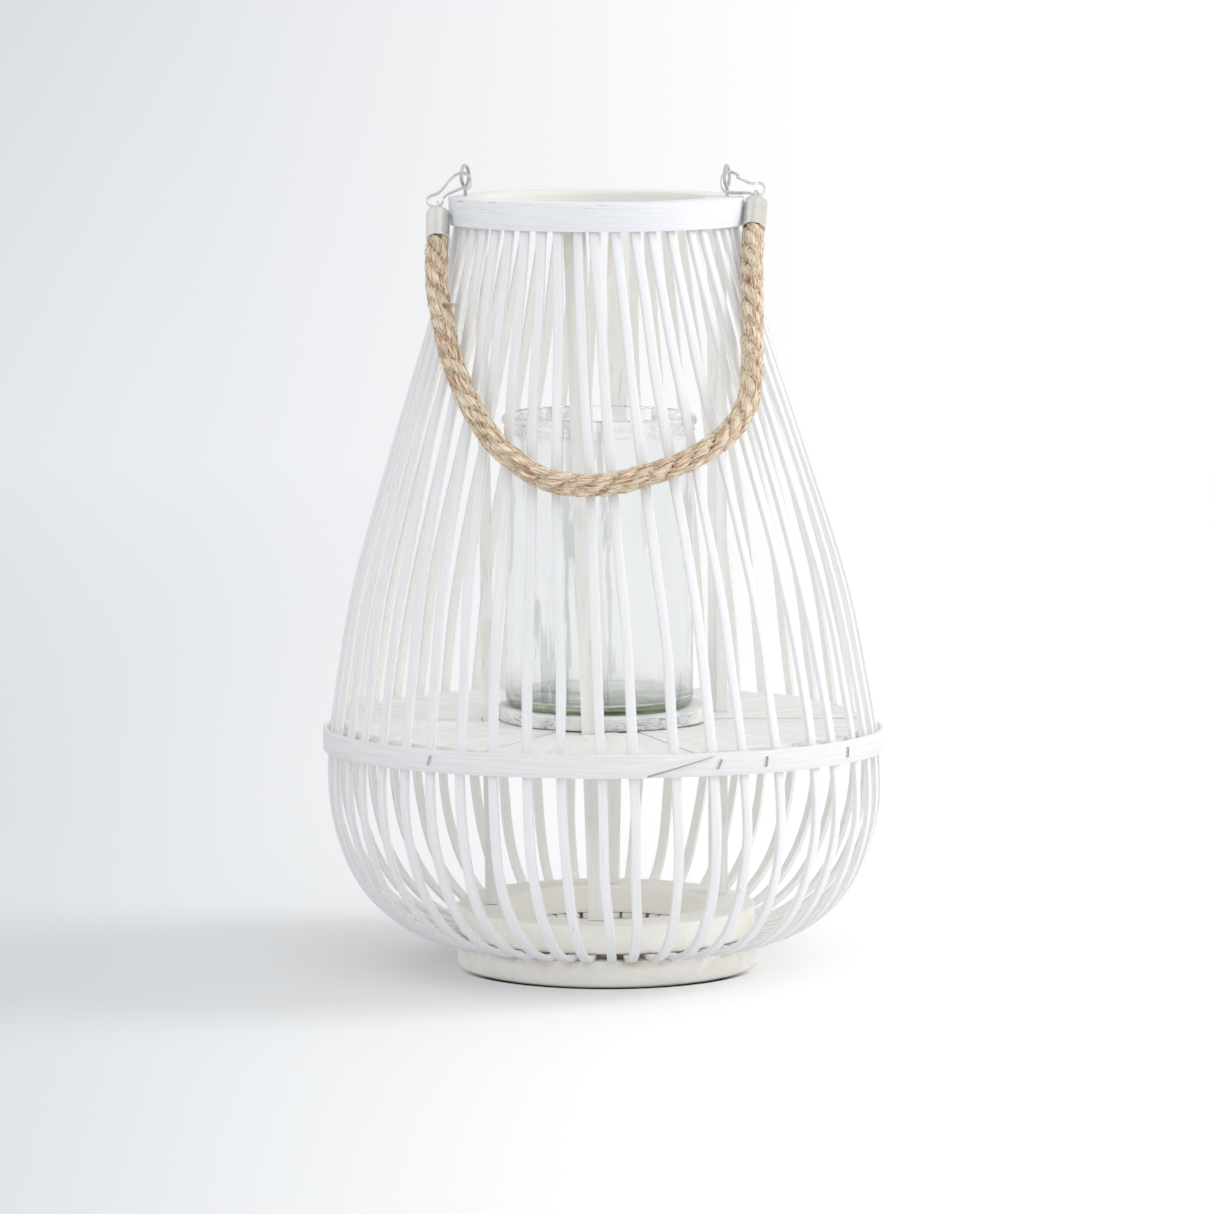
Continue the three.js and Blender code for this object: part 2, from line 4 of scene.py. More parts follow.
import bmesh
import bpy
import numpy as np
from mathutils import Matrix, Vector


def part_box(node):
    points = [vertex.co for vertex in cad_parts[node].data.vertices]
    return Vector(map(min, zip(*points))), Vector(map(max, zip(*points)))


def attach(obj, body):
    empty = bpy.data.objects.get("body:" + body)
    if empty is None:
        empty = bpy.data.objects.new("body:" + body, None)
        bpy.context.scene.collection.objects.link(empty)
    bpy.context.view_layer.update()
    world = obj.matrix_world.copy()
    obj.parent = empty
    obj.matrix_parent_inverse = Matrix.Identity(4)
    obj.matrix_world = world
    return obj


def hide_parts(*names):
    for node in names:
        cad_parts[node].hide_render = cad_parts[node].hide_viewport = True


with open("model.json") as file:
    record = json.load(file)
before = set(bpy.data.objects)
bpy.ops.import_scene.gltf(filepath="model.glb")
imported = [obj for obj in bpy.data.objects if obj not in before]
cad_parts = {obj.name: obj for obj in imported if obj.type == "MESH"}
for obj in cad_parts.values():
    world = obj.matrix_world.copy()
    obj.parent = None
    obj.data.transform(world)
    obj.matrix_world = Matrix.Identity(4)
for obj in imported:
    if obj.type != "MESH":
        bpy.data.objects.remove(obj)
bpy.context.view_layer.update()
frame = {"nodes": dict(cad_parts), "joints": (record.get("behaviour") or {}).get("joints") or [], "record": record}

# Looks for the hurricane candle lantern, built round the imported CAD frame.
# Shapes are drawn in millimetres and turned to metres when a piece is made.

MM = 0.001
CAGE_LEAN = 0.0138  # drift toward -X for each unit of height, as in the CAD
JOINTS = {joint["name"]: joint for joint in frame["joints"]}
NODE_BODY = {node: body for body, nodes in frame["record"]["behaviour"]["bodies"].items()
             for node in nodes}


# ------------ CAD places

def span(node, axis):
    """Lowest and highest coordinate of a CAD node along an axis, in millimetres."""
    low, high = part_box(node)
    return low[axis] / MM, high[axis] / MM


def cad_points(node):
    """The corners of a CAD node's mesh, in millimetres, without the cage's lean."""
    mesh = frame["nodes"][node].data
    points = np.array([v.co for v in mesh.vertices]) / MM
    points[:, 0] += CAGE_LEAN * points[:, 2]
    return points


def widest(node):
    """Half the width of a round CAD node, in millimetres."""
    low, high = span(node, 1)
    return (high - low) / 2


TOP_LOW, TOP_HIGH = span("top_ring", 2)
BAND_R = widest("top_band")
FOOT_R = widest("foot_ring")
FOOT_LOW, FOOT_HIGH = span("foot_ring", 2)
UPPER_R = widest("base_ring_upper")
UPPER_LOW, UPPER_HIGH = span("base_ring_upper", 2)
SEAT_R = widest("glass_seat")
SEAT_LOW, SEAT_HIGH = span("glass_seat", 2)
GLASS_LOW, GLASS_HIGH = span("hurricane_glass", 2)
RIM_R = widest("hurricane_glass")
INNER_HOOP_R = widest("hoop_inner")
INNER_HOOP_LOW, INNER_HOOP_HIGH = span("hoop_inner", 2)
HINGE_Z = JOINTS["handle_swing"]["pos_m"][2] / MM

RIB_WIDTH = 5.0
RIB_DEPTH = 2.8
RIB_STATIONS = 120
RIB_LEAN = math.radians(1.9)  # sideways lean of every rib
RIB_LEAN_Z = 110.0  # height about which a rib leans
RIB_WIDEST_Z = 117.0
RIB_OUTER_R = 141.0  # at that height only the outer faces of the ribs lie beyond this
RIB_FACE = np.array([  # radius and height along a rib's outer face
    (72.7, 394), (73.1, 381), (87.5, 331), (106, 273), (127.3, 202), (137.5, 150),
    (142.2, 117), (143, 92), (140, 72), (132.5, 51), (121, 34), (106, 22),
    (91, 15.9), (79, 14.2), (53.2, 14.2),
], float)
HOOP_R = 143.3
HOOP_THICK = 1.8
HOOP_TALL = 11.6
HOOP_Z = 118.5
HOOP_TILT = math.radians(1.9)  # front edge up
HANG = math.radians(38.4)  # how far the resting handle hangs forward of straight down


# ------------ mesh building

def make_mesh(name, points, faces, uvs, leans=True):
    """A smooth mesh from points in millimetres, with one UV pair per face corner.
    Points of the cage and its handle take the cage's lean."""
    points = np.array(points, float)
    if leans:
        points[:, 0] -= CAGE_LEAN * points[:, 2]
    mesh = bpy.data.meshes.new(name)
    mesh.from_pydata((points * MM).tolist(), [], faces)
    layer = mesh.uv_layers.new(name="grain")
    layer.data.foreach_set("uv", np.asarray(uvs, np.float32).ravel())
    mesh.shade_smooth()
    mesh.update()
    return mesh


def add_piece(mesh, look, node):
    """Puts a mesh in the scene in place of a CAD node, on the node's own body."""
    piece = bpy.data.objects.new(mesh.name, mesh)
    bpy.context.scene.collection.objects.link(piece)
    mesh.materials.append(look)
    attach(piece, NODE_BODY[node])
    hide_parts(node)


def round_turns(count):
    """Angles spread evenly round a full turn, in radians."""
    return np.linspace(0, 2 * np.pi, count, endpoint=False)


def rotated(first, second, angle):
    """Two coordinates turned by an angle, the first toward the second."""
    cos, sin = math.cos(angle), math.sin(angle)
    return first * cos - second * sin, first * sin + second * cos


def circling(angles, first, second):
    """Steps of length one round the circle that two directions span."""
    return np.cos(angles)[:, None] * first + np.sin(angles)[:, None] * second


def unit_rows(vectors):
    """The vectors, one a row, each brought to length one."""
    return vectors / np.linalg.norm(vectors, axis=1)[:, None]


def arc_lengths(line):
    """Distance along a line of points at each of them."""
    steps = np.linalg.norm(np.diff(line, axis=0), axis=1)
    return np.concatenate([[0.0], np.cumsum(steps)])


def skin(sections, ring=False, v_start=0.0):
    """Points, faces and UVs of a skin over sections shaped [station, side, xyz].
    U runs round a section and V along the stations, both in metres."""
    sections = np.asarray(sections, float)
    stations, sides = sections.shape[:2]
    middle = sections.mean(axis=1)
    along = arc_lengths(np.vstack([middle, middle[:1]]) if ring else middle) * MM + v_start
    widest = sections[stations // 2]
    across = arc_lengths(np.vstack([widest, widest[:1]])) * MM
    faces, uvs = [], []
    for i in range(stations if ring else stations - 1):
        after = (i + 1) % stations
        for j in range(sides):
            beside = (j + 1) % sides
            faces.append((i * sides + j, i * sides + beside,
                          after * sides + beside, after * sides + j))
            uvs += [(across[j], along[i]), (across[j + 1], along[i]),
                    (across[j + 1], along[i + 1]), (across[j], along[i + 1])]
    if not ring:
        last = (stations - 1) * sides
        faces.append(tuple(reversed(range(sides))))
        uvs += [(across[j], along[0]) for j in reversed(range(sides))]
        faces.append(tuple(range(last, last + sides)))
        uvs += [(across[j], along[-1]) for j in range(sides)]
    return sections.reshape(-1, 3), faces, uvs


def skinned(name, sections, leans=True, **options):
    points, faces, uvs = skin(sections, **options)
    mesh = make_mesh(name, points, faces, uvs, leans)
    turn_outward(mesh)
    return mesh


def turn_outward(mesh):
    """Turns every face of a closed mesh outward."""
    work = bmesh.new()
    work.from_mesh(mesh)
    bmesh.ops.recalc_face_normals(work, faces=work.faces)
    work.to_mesh(mesh)
    work.free()


def paint_values(mesh, name, values):
    """Gives each corner of a mesh a number that its material can read."""
    mesh.attributes.new(name, "FLOAT", "POINT").data.foreach_set("value", values.ravel())


def level_section(radius, angle, height):
    """Points of an upright section that stands at an angle round the axis."""
    return np.stack([radius * math.sin(angle), -radius * math.cos(angle), height], 1)


def spline(points, count):
    """Evenly spaced points on a smooth curve through the given points."""
    points = np.asarray(points, float)
    padded = np.vstack([2 * points[0] - points[1], points, 2 * points[-1] - points[-2]])
    fine = []
    for i in range(1, len(padded) - 2):
        p0, p1, p2, p3 = padded[i - 1:i + 3]
        t = np.linspace(0, 1, 24, endpoint=False)[:, None]
        m1, m2 = (p2 - p0) / 2, (p3 - p1) / 2
        fine.append((2 * t**3 - 3 * t**2 + 1) * p1 + (t**3 - 2 * t**2 + t) * m1
                    + (-2 * t**3 + 3 * t**2) * p2 + (t**3 - t**2) * m2)
    fine = np.vstack(fine + [points[-1:]])
    length = arc_lengths(fine)
    wanted = np.linspace(0, length[-1], count)
    return np.stack([np.interp(wanted, length, fine[:, k]) for k in range(points.shape[1])], 1)


def slow_noise(positions, wavelength, rng):
    """A smooth random value between about -1 and 1 at each position."""
    total = np.zeros_like(positions, float)
    for wave in range(4):
        size = wavelength / (1 + 0.7 * wave)
        total += np.sin(2 * np.pi * positions / size + rng.uniform(0, 6.28)) / (1 + wave)
    return total / 2.1


def rounded_strip(half_width, depth, corner, crown=0.0):
    """Corners of a strip's section as (across, depth below the outer face)."""
    points = []
    for centre_a, centre_b, start in [
        (half_width - corner, corner, -90), (half_width - corner, depth - corner, 0),
        (-half_width + corner, depth - corner, 90), (-half_width + corner, corner, 180),
    ]:
        for turn in (0, 45, 90):
            angle = math.radians(start + turn)
            points.append((centre_a + corner * math.cos(angle),
                           centre_b + corner * math.sin(angle)))
    points.append((0.0, -crown))
    return np.array(points)


def turned(name, profile, steps=144, wobble=0.0, seed=1, off_x=None):
    """A body turned about Z from a closed [radius, height] outline. One that stands
    upright on its own has off_x, how far its axis is from the lantern's."""
    profile = np.asarray(profile, float)
    rng = np.random.default_rng(seed)
    angles = round_turns(steps)
    drift = wobble * slow_noise(angles * 60, 2 * np.pi * 60, rng)
    sections = np.array([level_section(profile[:, 0] + shift, angle, profile[:, 1])
                         for angle, shift in zip(angles, drift)])
    sections[..., 0] += off_x or 0.0
    return skinned(name, sections, leans=off_x is None, ring=True)


def eased_box_profile(inner, outer, low, high, ease, inner_ease=None):
    """Outline of a ring's section with rounded corners."""
    inner_ease = inner_ease or ease
    outline = []
    for radius, height, ease_here, start in [
        (outer, low, ease, -90), (outer, high, ease, 0),
        (inner, high, inner_ease, 90), (inner, low, inner_ease, 180),
    ]:
        side = -1 if radius == outer else 1
        lift = 1 if height == low else -1
        centre = (radius + side * ease_here, height + lift * ease_here)
        for turn in (0, 30, 60, 90):
            angle = math.radians(start + turn)
            outline.append((centre[0] + ease_here * math.cos(angle),
                            centre[1] + ease_here * math.sin(angle)))
    return outline


# ------------ materials

class Look:
    """A node-based material, with short calls for the nodes it uses."""

    def __init__(self, name):
        self.material = bpy.data.materials.new(name)
        self.material.use_nodes = True
        self.tree = self.material.node_tree
        self.shader = self.tree.nodes["Principled BSDF"]

    def node(self, kind, inputs=None, **settings):
        made = self.tree.nodes.new(kind)
        for key, value in settings.items():
            setattr(made, key, value)
        for key, value in (inputs or {}).items():
            self.put(value, made.inputs[key])
        return made

    def put(self, value, socket):
        if isinstance(value, bpy.types.NodeSocket):
            self.tree.links.new(value, socket)
        else:
            socket.default_value = value

    def coords(self, kind="UV"):
        return self.node("ShaderNodeTexCoord").outputs[kind]

    def mapped(self, vector, scale=(1, 1, 1), turn=(0, 0, 0), shift=(0, 0, 0)):
        return self.node("ShaderNodeMapping", {
            "Vector": vector, "Scale": scale, "Rotation": turn, "Location": shift,
        }).outputs[0]

    def noise(self, vector, scale=1.0, detail=4.0, roughness=0.55, distortion=0.0):
        return self.node("ShaderNodeTexNoise", {
            "Vector": vector, "Scale": scale, "Detail": detail,
            "Roughness": roughness, "Distortion": distortion,
        }).outputs["Fac"]

    def grain(self, vector, scale, detail, shift=(0, 0, 0), **options):
        """Noise with its own scale along each axis."""
        return self.noise(self.mapped(vector, scale, shift=shift), detail=detail, **options)

    def steps(self, value, low, high, out_low=0.0, out_high=1.0):
        return self.node("ShaderNodeMapRange", {
            "Value": value, "From Min": low, "From Max": high,
            "To Min": out_low, "To Max": out_high,
        }).outputs[0]

    def math(self, kind, first, second=0.0):
        made = self.tree.nodes.new("ShaderNodeMath")
        made.operation = kind
        self.put(first, made.inputs[0])
        self.put(second, made.inputs[1])
        return made.outputs[0]

    def times(self, first, second):
        return self.math("MULTIPLY", first, second)

    def mix(self, share, first, second):
        made = self.tree.nodes.new("ShaderNodeMix")
        made.data_type = "RGBA"
        self.put(share, made.inputs[0])
        self.put(first, made.inputs[6])
        self.put(second, made.inputs[7])
        return made.outputs[2]

    def mix_shaders(self, share, first, second):
        return self.node("ShaderNodeMixShader", {
            0: share, 1: first.outputs[0], 2: second.outputs[0]})

    def place(self):
        """The three coordinates of the point that is shaded, in metres."""
        return self.node("ShaderNodeSeparateXYZ", {"Vector": self.coords("Object")}).outputs

    def height(self):
        """Height above the floor."""
        return self.place()["Z"]

    def reach(self):
        """Distance from the lantern's upright axis."""
        place = self.place()
        squares = [self.math("POWER", place[axis], 2.0) for axis in "XY"]
        return self.math("SQRT", self.math("ADD", *squares))

    def finish(self, **inputs):
        for key, value in inputs.items():
            self.put(value, self.shader.inputs[key.replace("_", " ")])
        return self.material

    def bump(self, height, strength, distance):
        return self.node("ShaderNodeBump", {
            "Height": height, "Strength": strength, "Distance": distance,
        }).outputs[0]


def rgb(red, green, blue):
    """Colour from 0-255 screen values, made linear."""
    def linear(value):
        value /= 255
        return value / 12.92 if value <= 0.04045 else ((value + 0.055) / 1.055) ** 2.4
    return (linear(red), linear(green), linear(blue), 1.0)


BOUNCE = 0.14  # strength of the glow painted on faces toward the axis, for light that white walls throw back inside the cage


def base_ends(look):
    """One on the unpainted rib ends between the base rings, nothing elsewhere."""
    low = look.steps(look.height(), 0.021, 0.019)
    return look.times(low, look.steps(look.reach(), 0.066, 0.060))


def faces_inward(look):
    """One on surfaces that face the lantern's axis, nothing on outer ones. The looks paint shade and bounced light
    on these faces.
    """
    out = look.node("ShaderNodeVectorMath", {
        0: look.coords("Object"), 1: (1, 1, 0)}, operation="MULTIPLY").outputs[0]
    normal = look.node("ShaderNodeNewGeometry").outputs["Normal"]
    dot = look.node("ShaderNodeVectorMath", {0: out, 1: normal}, operation="DOT_PRODUCT")
    return look.steps(dot.outputs["Value"], 0.005, -0.03)


def whitewashed_cane(name, paint, thin, worn_share=0.5):
    """Thin white wash on split bamboo: streaks along the strip, with rubbed marks, and on faces toward the axis a
    warmer painted tone and a painted glow for light bounced inside the cage.
    """
    look = Look(name)
    uv = look.coords()
    streak = look.grain(uv, (900, 22, 1), 5)
    fine = look.grain(uv, (3600, 90, 1), 3)
    cloud = look.grain(uv, (60, 16, 1), 2)
    colour = look.mix(look.steps(streak, 0.42, 0.75), paint, thin)
    bare = look.times(look.steps(fine, 0.6, 0.78), look.steps(cloud, 0.45, 0.7))
    colour = look.mix(look.times(bare, 0.45), colour, rgb(196, 186, 168))
    mark = look.grain(uv, (520, 75, 1), 4, roughness=0.7)
    place = look.grain(uv, (45, 21, 1), 2, shift=(3, 7, 0))
    low_down = look.steps(look.height(), 0.12, 0.045, 0.35, 1.0)
    rubbed = look.times(look.steps(mark, 0.6, 0.68), look.steps(place, 0.55, 0.66))
    rubbed = look.times(rubbed, look.times(low_down, worn_share))
    colour = look.mix(rubbed, colour, rgb(118, 124, 138))
    colour = look.mix(base_ends(look), colour, rgb(176, 138, 96))
    # painted shade: a brown line along the low edge of the hoop's slanted end, for the gap at its joint
    cut = look.node("ShaderNodeAttribute", attribute_name="cut").outputs["Fac"]
    colour = look.mix(look.steps(cut, 0.8, 0.95, 0.0, 0.8), colour, rgb(150, 116, 88))
    relief = look.math("ADD", streak, look.times(fine, 0.5))
    # painted light: faces toward the axis take a warmer tone and glow, for light bounced inside the cage
    inner = faces_inward(look)
    colour = look.mix(inner, colour, rgb(234, 233, 229))
    return look.finish(
        Base_Color=colour, Emission_Color=rgb(236, 235, 231),
        Emission_Strength=look.times(inner, BOUNCE),
        Roughness=look.steps(streak, 0.3, 0.8, 0.5, 0.72),
        Specular_IOR_Level=0.35,
        Normal=look.bump(relief, 0.35, 0.00025),
    )


def joint_stain(look, low, high, strength):
    """Blotches near a joint that runs round between two heights."""
    middle, reach = (low + high) / 2, (high - low) / 2
    gap = look.math("ABSOLUTE", look.math("SUBTRACT", look.height(), middle))
    near = look.steps(gap, reach, reach * 0.15)
    blotch = look.noise(look.coords("Object"), scale=70, detail=5, roughness=0.65)
    amount = look.times(look.steps(blotch, 0.42, 0.66), near)
    return look.times(amount, strength)


def paint_chips(look, base, low):
    """Cracks and chips in the paint above a height."""
    crack = look.grain(base, (1300, 42, 1), 5, shift=(2, 8, 0))
    edge = look.steps(look.height(), low, low + 0.003)
    return look.times(look.steps(crack, 0.63, 0.67), edge)


def whitewashed_wood(name, coords, grain_scale, paint, thin, stain=None, knots=0.0, turn=0.0,
                     pores=0.5, relief=0.4, chipped_above=None, bounce=0.0, inside=None):
    """White wash on turned or planed wood, with optional stains near a joint; inside is a painted shade colour and
    bounce a painted glow, both on faces toward the axis.
    """
    look = Look(name)
    base = look.mapped(look.coords(coords), turn=(0, 0, turn))
    grain = look.grain(base, grain_scale, 6, distortion=0.3)
    fine_scale = tuple(3.5 * part for part in grain_scale)
    fine = look.grain(base, fine_scale, 3)
    colour = look.mix(look.steps(grain, 0.38, 0.72), paint, thin)
    open_grain = look.times(look.steps(fine, 0.62, 0.74), pores)
    colour = look.mix(open_grain, colour, rgb(178, 170, 154))
    if stain:
        colour = look.mix(joint_stain(look, *stain), colour, rgb(150, 112, 70))
    if chipped_above:
        chip = paint_chips(look, base, chipped_above)
        colour = look.mix(look.times(chip, 0.7), colour, rgb(120, 116, 116))
    if knots:
        spots = look.node("ShaderNodeTexVoronoi", {
            "Vector": look.mapped(base, (22, 22, 7)), "Scale": 1.0,
        }).outputs["Distance"]
        ring = look.times(look.steps(spots, 0.16, 0.05), knots)
        colour = look.mix(ring, colour, rgb(166, 128, 84))
        cloud = look.noise(base, scale=24, detail=3)
        haze = look.times(look.steps(cloud, 0.56, 0.75), knots * 0.6)
        colour = look.mix(haze, colour, rgb(206, 192, 160))
    surface = look.math("ADD", grain, look.times(fine, 0.4))
    inner = faces_inward(look)
    # painted shade: faces toward the axis take the darker inside colour
    if inside:
        colour = look.mix(inner, colour, inside)
    # painted glow on faces toward the axis, for bounced light
    glow = look.times(inner, bounce)
    return look.finish(
        Base_Color=colour, Emission_Color=rgb(234, 232, 227), Emission_Strength=glow,
        Roughness=look.steps(grain, 0.3, 0.8, 0.58, 0.8),
        Specular_IOR_Level=0.3,
        Normal=look.bump(surface, relief, 0.0004),
    )


def distressed_rim(name):
    """White paint rubbed through to dark grey on the seat's edge."""
    look = Look(name)
    uv = look.coords("Object")
    rub = look.grain(uv, (240, 240, 1100), 6, roughness=0.7)
    patch = look.grain(uv, (34, 34, 60), 3)
    edge = look.steps(look.height(), SEAT_HIGH * MM - 0.0012, SEAT_HIGH * MM - 0.0004, 1.0, 0.1)
    colour = look.mix(look.steps(patch, 0.4, 0.7), rgb(236, 236, 234), rgb(206, 208, 210))
    dark = look.times(look.steps(rub, 0.5, 0.58), look.steps(patch, 0.42, 0.55))
    dark = look.times(dark, edge)
    colour = look.mix(look.times(dark, 0.85), colour, rgb(132, 138, 150))
    return look.finish(
        Base_Color=colour, Roughness=look.steps(rub, 0.3, 0.7, 0.5, 0.8),
        Normal=look.bump(rub, 0.4, 0.0004),
    )


def jute(name, light, dark, streak_scale, slant=0.0):
    """Loose pale fibres laid on a slant to the strand, with shade painted brown into its seams."""
    look = Look(name)
    uv = look.mapped(look.coords(), turn=(0, 0, slant))
    fibres = look.grain(uv, streak_scale, 6, roughness=0.65)
    wide = look.grain(uv, tuple(part * 0.35 for part in streak_scale), 3)
    tuft = look.grain(uv, (140, 60, 1), 3)
    colour = look.mix(look.steps(fibres, 0.43, 0.52), dark, light)
    colour = look.mix(look.steps(wide, 0.46, 0.62, 0.0, 0.55), colour, rgb(250, 240, 220))
    colour = look.mix(look.steps(tuft, 0.56, 0.74, 0.0, 0.3), colour, rgb(200, 154, 108))
    # painted shade: brown in the seams between strands
    seam_shade = look.node("ShaderNodeAttribute", attribute_name="seam_shade").outputs["Fac"]
    colour = look.mix(look.steps(seam_shade, 0.15, 0.75, 0.0, 0.9), colour, rgb(132, 78, 42))
    fleck = look.grain(uv, (1500, 260, 1), 2, shift=(5, 9, 0))
    colour = look.mix(look.steps(fleck, 0.68, 0.74, 0.0, 0.75), colour, rgb(138, 82, 44))
    relief = look.math("ADD", fibres, look.times(wide, 0.8))
    return look.finish(
        Base_Color=colour,
        Roughness=look.steps(fibres, 0.3, 0.7, 0.95, 0.75),
        Specular_IOR_Level=0.15,
        Sheen_Weight=0.15,
        Normal=look.bump(relief, 1.0, 0.0011),
    )


def plated_metal(name, colour, dull, roughness, scratch_scale):
    """Plated metal with fine scratches and cloudier patches."""
    look = Look(name)
    place = look.coords("Object")
    scratch = look.grain(place, scratch_scale, 4)
    cloud = look.noise(place, scale=60, detail=2)
    tone = look.mix(look.steps(cloud, 0.35, 0.75), colour, dull)
    rough = look.math("ADD", look.steps(scratch, 0.3, 0.7, -0.06, 0.1), roughness)
    return look.finish(
        Base_Color=tone, Metallic=1.0, Roughness=rough,
        Normal=look.bump(scratch, 0.12, 0.0001),
    )


CLEAR_SHARE = 0.3  # part of the glass that lets light straight through
SHEEN_SHARE = 0.4  # part of the glass given a painted reflection of the white room, a white glow


def glass_sheen(look, depth, ray):
    """How much of the painted reflection of the room shows: less at a slant, at the rim and over the floor."""
    facing = look.node("ShaderNodeLayerWeight", {"Blend": 0.5}).outputs["Facing"]
    sheen = look.steps(facing, 0.9, 0.55, 0.0, SHEEN_SHARE)
    low, high = GLASS_LOW * MM, GLASS_HIGH * MM
    below_rim = look.steps(look.height(), high - 0.009, high - 0.013)
    over_floor = look.steps(look.height(), low + 0.012, low + 0.024, 0.25, 1.0)
    for part in (below_rim, over_floor, look.math("SUBTRACT", 1.0, depth),
                 look.math("SUBTRACT", 1.0, ray)):
        sheen = look.times(sheen, part)
    return sheen


def wavy_glass(name):
    """Clear blown glass with soft upright ripples and a green floor."""
    look = Look(name)
    place = look.coords("Object")
    ripple = look.grain(place, (52, 52, 11), 4, distortion=1.1)
    streak = look.grain(place, (27, 27, 2.8), 6, roughness=0.6)
    streak = look.math("ABSOLUTE", look.math("SUBTRACT", streak, 0.5))
    band = look.steps(streak, 0.024, 0.017, 0.0, 0.8)
    clear = look.mix(band, rgb(255, 255, 255), rgb(212, 215, 214))
    low = GLASS_LOW * MM
    depth = look.steps(look.height(), low + 0.0054, low + 0.004)
    colour = look.mix(depth, clear, rgb(158, 168, 142))
    colour = look.mix(look.steps(look.height(), low + 0.003, low + 0.0012), colour,
                      rgb(84, 106, 82))
    look.finish(
        Base_Color=colour, Roughness=0.015, IOR=1.45, Transmission_Weight=1.0,
        Normal=look.bump(ripple, 0.3, 0.002),
    )
    straight = look.node("ShaderNodeBsdfTransparent", {"Color": colour})
    ray = look.node("ShaderNodeLightPath").outputs["Is Shadow Ray"]
    share = look.math("MAXIMUM", ray, look.steps(depth, 0.0, 1.0, CLEAR_SHARE, 0.0))
    blend = look.mix_shaders(share, look.shader, straight)
    # painted reflection: a white glow, greyer in the streaks, for the white room mirrored in the glass
    white = look.node("ShaderNodeEmission", {
        "Color": look.mix(band, rgb(236, 239, 239), rgb(212, 215, 214))})
    coat = look.mix_shaders(glass_sheen(look, depth, ray), blend, white)
    look.put(coat.outputs[0], look.tree.nodes["Material Output"].inputs["Surface"])
    return look.material


# both cane looks carry a painted warm tone and glow on their inward faces
CANE = whitewashed_cane("cane_wash", rgb(232, 233, 237), rgb(226, 225, 223))
HOOP_LOOK = whitewashed_cane("hoop_wash", rgb(227, 228, 231), rgb(218, 216, 212), 0.8)
# inside: painted shade on the top ring's inner wall
RING_WOOD = whitewashed_wood(
    "ring_wash", "Object", (30, 160, 160), rgb(236, 236, 236), rgb(224, 222, 218),
    inside=rgb(226, 224, 219))
BAND_WOOD = whitewashed_wood(
    "band_wash", "UV", (700, 20, 1), rgb(231, 234, 240), rgb(224, 224, 225),
    pores=0.3, relief=0.25, chipped_above=(TOP_HIGH - 6) * MM)
# inside: painted shade on the base rings' inner walls; bounce: a painted glow there
BASE_WOOD = whitewashed_wood(
    "base_wash", "Object", (22, 60, 60), rgb(244, 243, 238), rgb(236, 232, 223),
    stain=(0.0095, 0.020, 0.75), pores=0.15, relief=0.12, bounce=0.2,
    inside=rgb(228, 225, 218))
# bounce: a painted glow on the posts' inward faces
POST_WOOD = whitewashed_wood(
    "post_wash", "Object", (160, 160, 12), rgb(240, 240, 239), rgb(228, 226, 222), knots=0.5,
    bounce=BOUNCE)
SEAT_WOOD = distressed_rim("seat_wash")
JUTE = jute("jute_strand", rgb(248, 235, 210), rgb(172, 116, 70), (1500, 75, 1), -0.45)
FIBRE = jute("jute_fibre", rgb(255, 244, 222), rgb(240, 220, 188), (300, 200, 1))
BROWN_FIBRE = jute("jute_brown_fibre", rgb(184, 128, 80), rgb(138, 84, 46), (300, 200, 1))
NICKEL = plated_metal(
    "satin_nickel", rgb(238, 237, 231), rgb(222, 220, 213), 0.3, (900, 900, 160))
ZINC = plated_metal(
    "bright_zinc", rgb(208, 212, 216), rgb(170, 174, 180), 0.2, (700, 700, 700))
STAPLE = plated_metal(
    "staple_steel", rgb(190, 192, 194), rgb(150, 152, 154), 0.4, (900, 900, 900))
GLASS = wavy_glass("wavy_glass")


def board_wood(angle):
    """Board look with its grain along the board's own middle line."""
    turn = -(math.radians(angle) - math.pi / 2)
    return whitewashed_wood(
        f"board_wash_{int(angle) % 360:03d}", "Object", (12, 150, 150),
        rgb(240, 240, 240), rgb(230, 229, 227), knots=0.1, turn=turn)


# ------------ wooden cage

def rib_angles(node):
    """The two angles at which a pair's ribs cross the hoops, in radians."""
    points = cad_points(node)
    radius = np.hypot(points[:, 0], points[:, 1])
    at_hoop = points[(np.abs(points[:, 2] - RIB_WIDEST_Z) < 2) & (radius > RIB_OUTER_R)]
    angles = np.unwrap(np.arctan2(at_hoop[:, 0], -at_hoop[:, 1]))
    middle = (angles.min() + angles.max()) / 2
    return angles[angles < middle].mean(), angles[angles >= middle].mean()


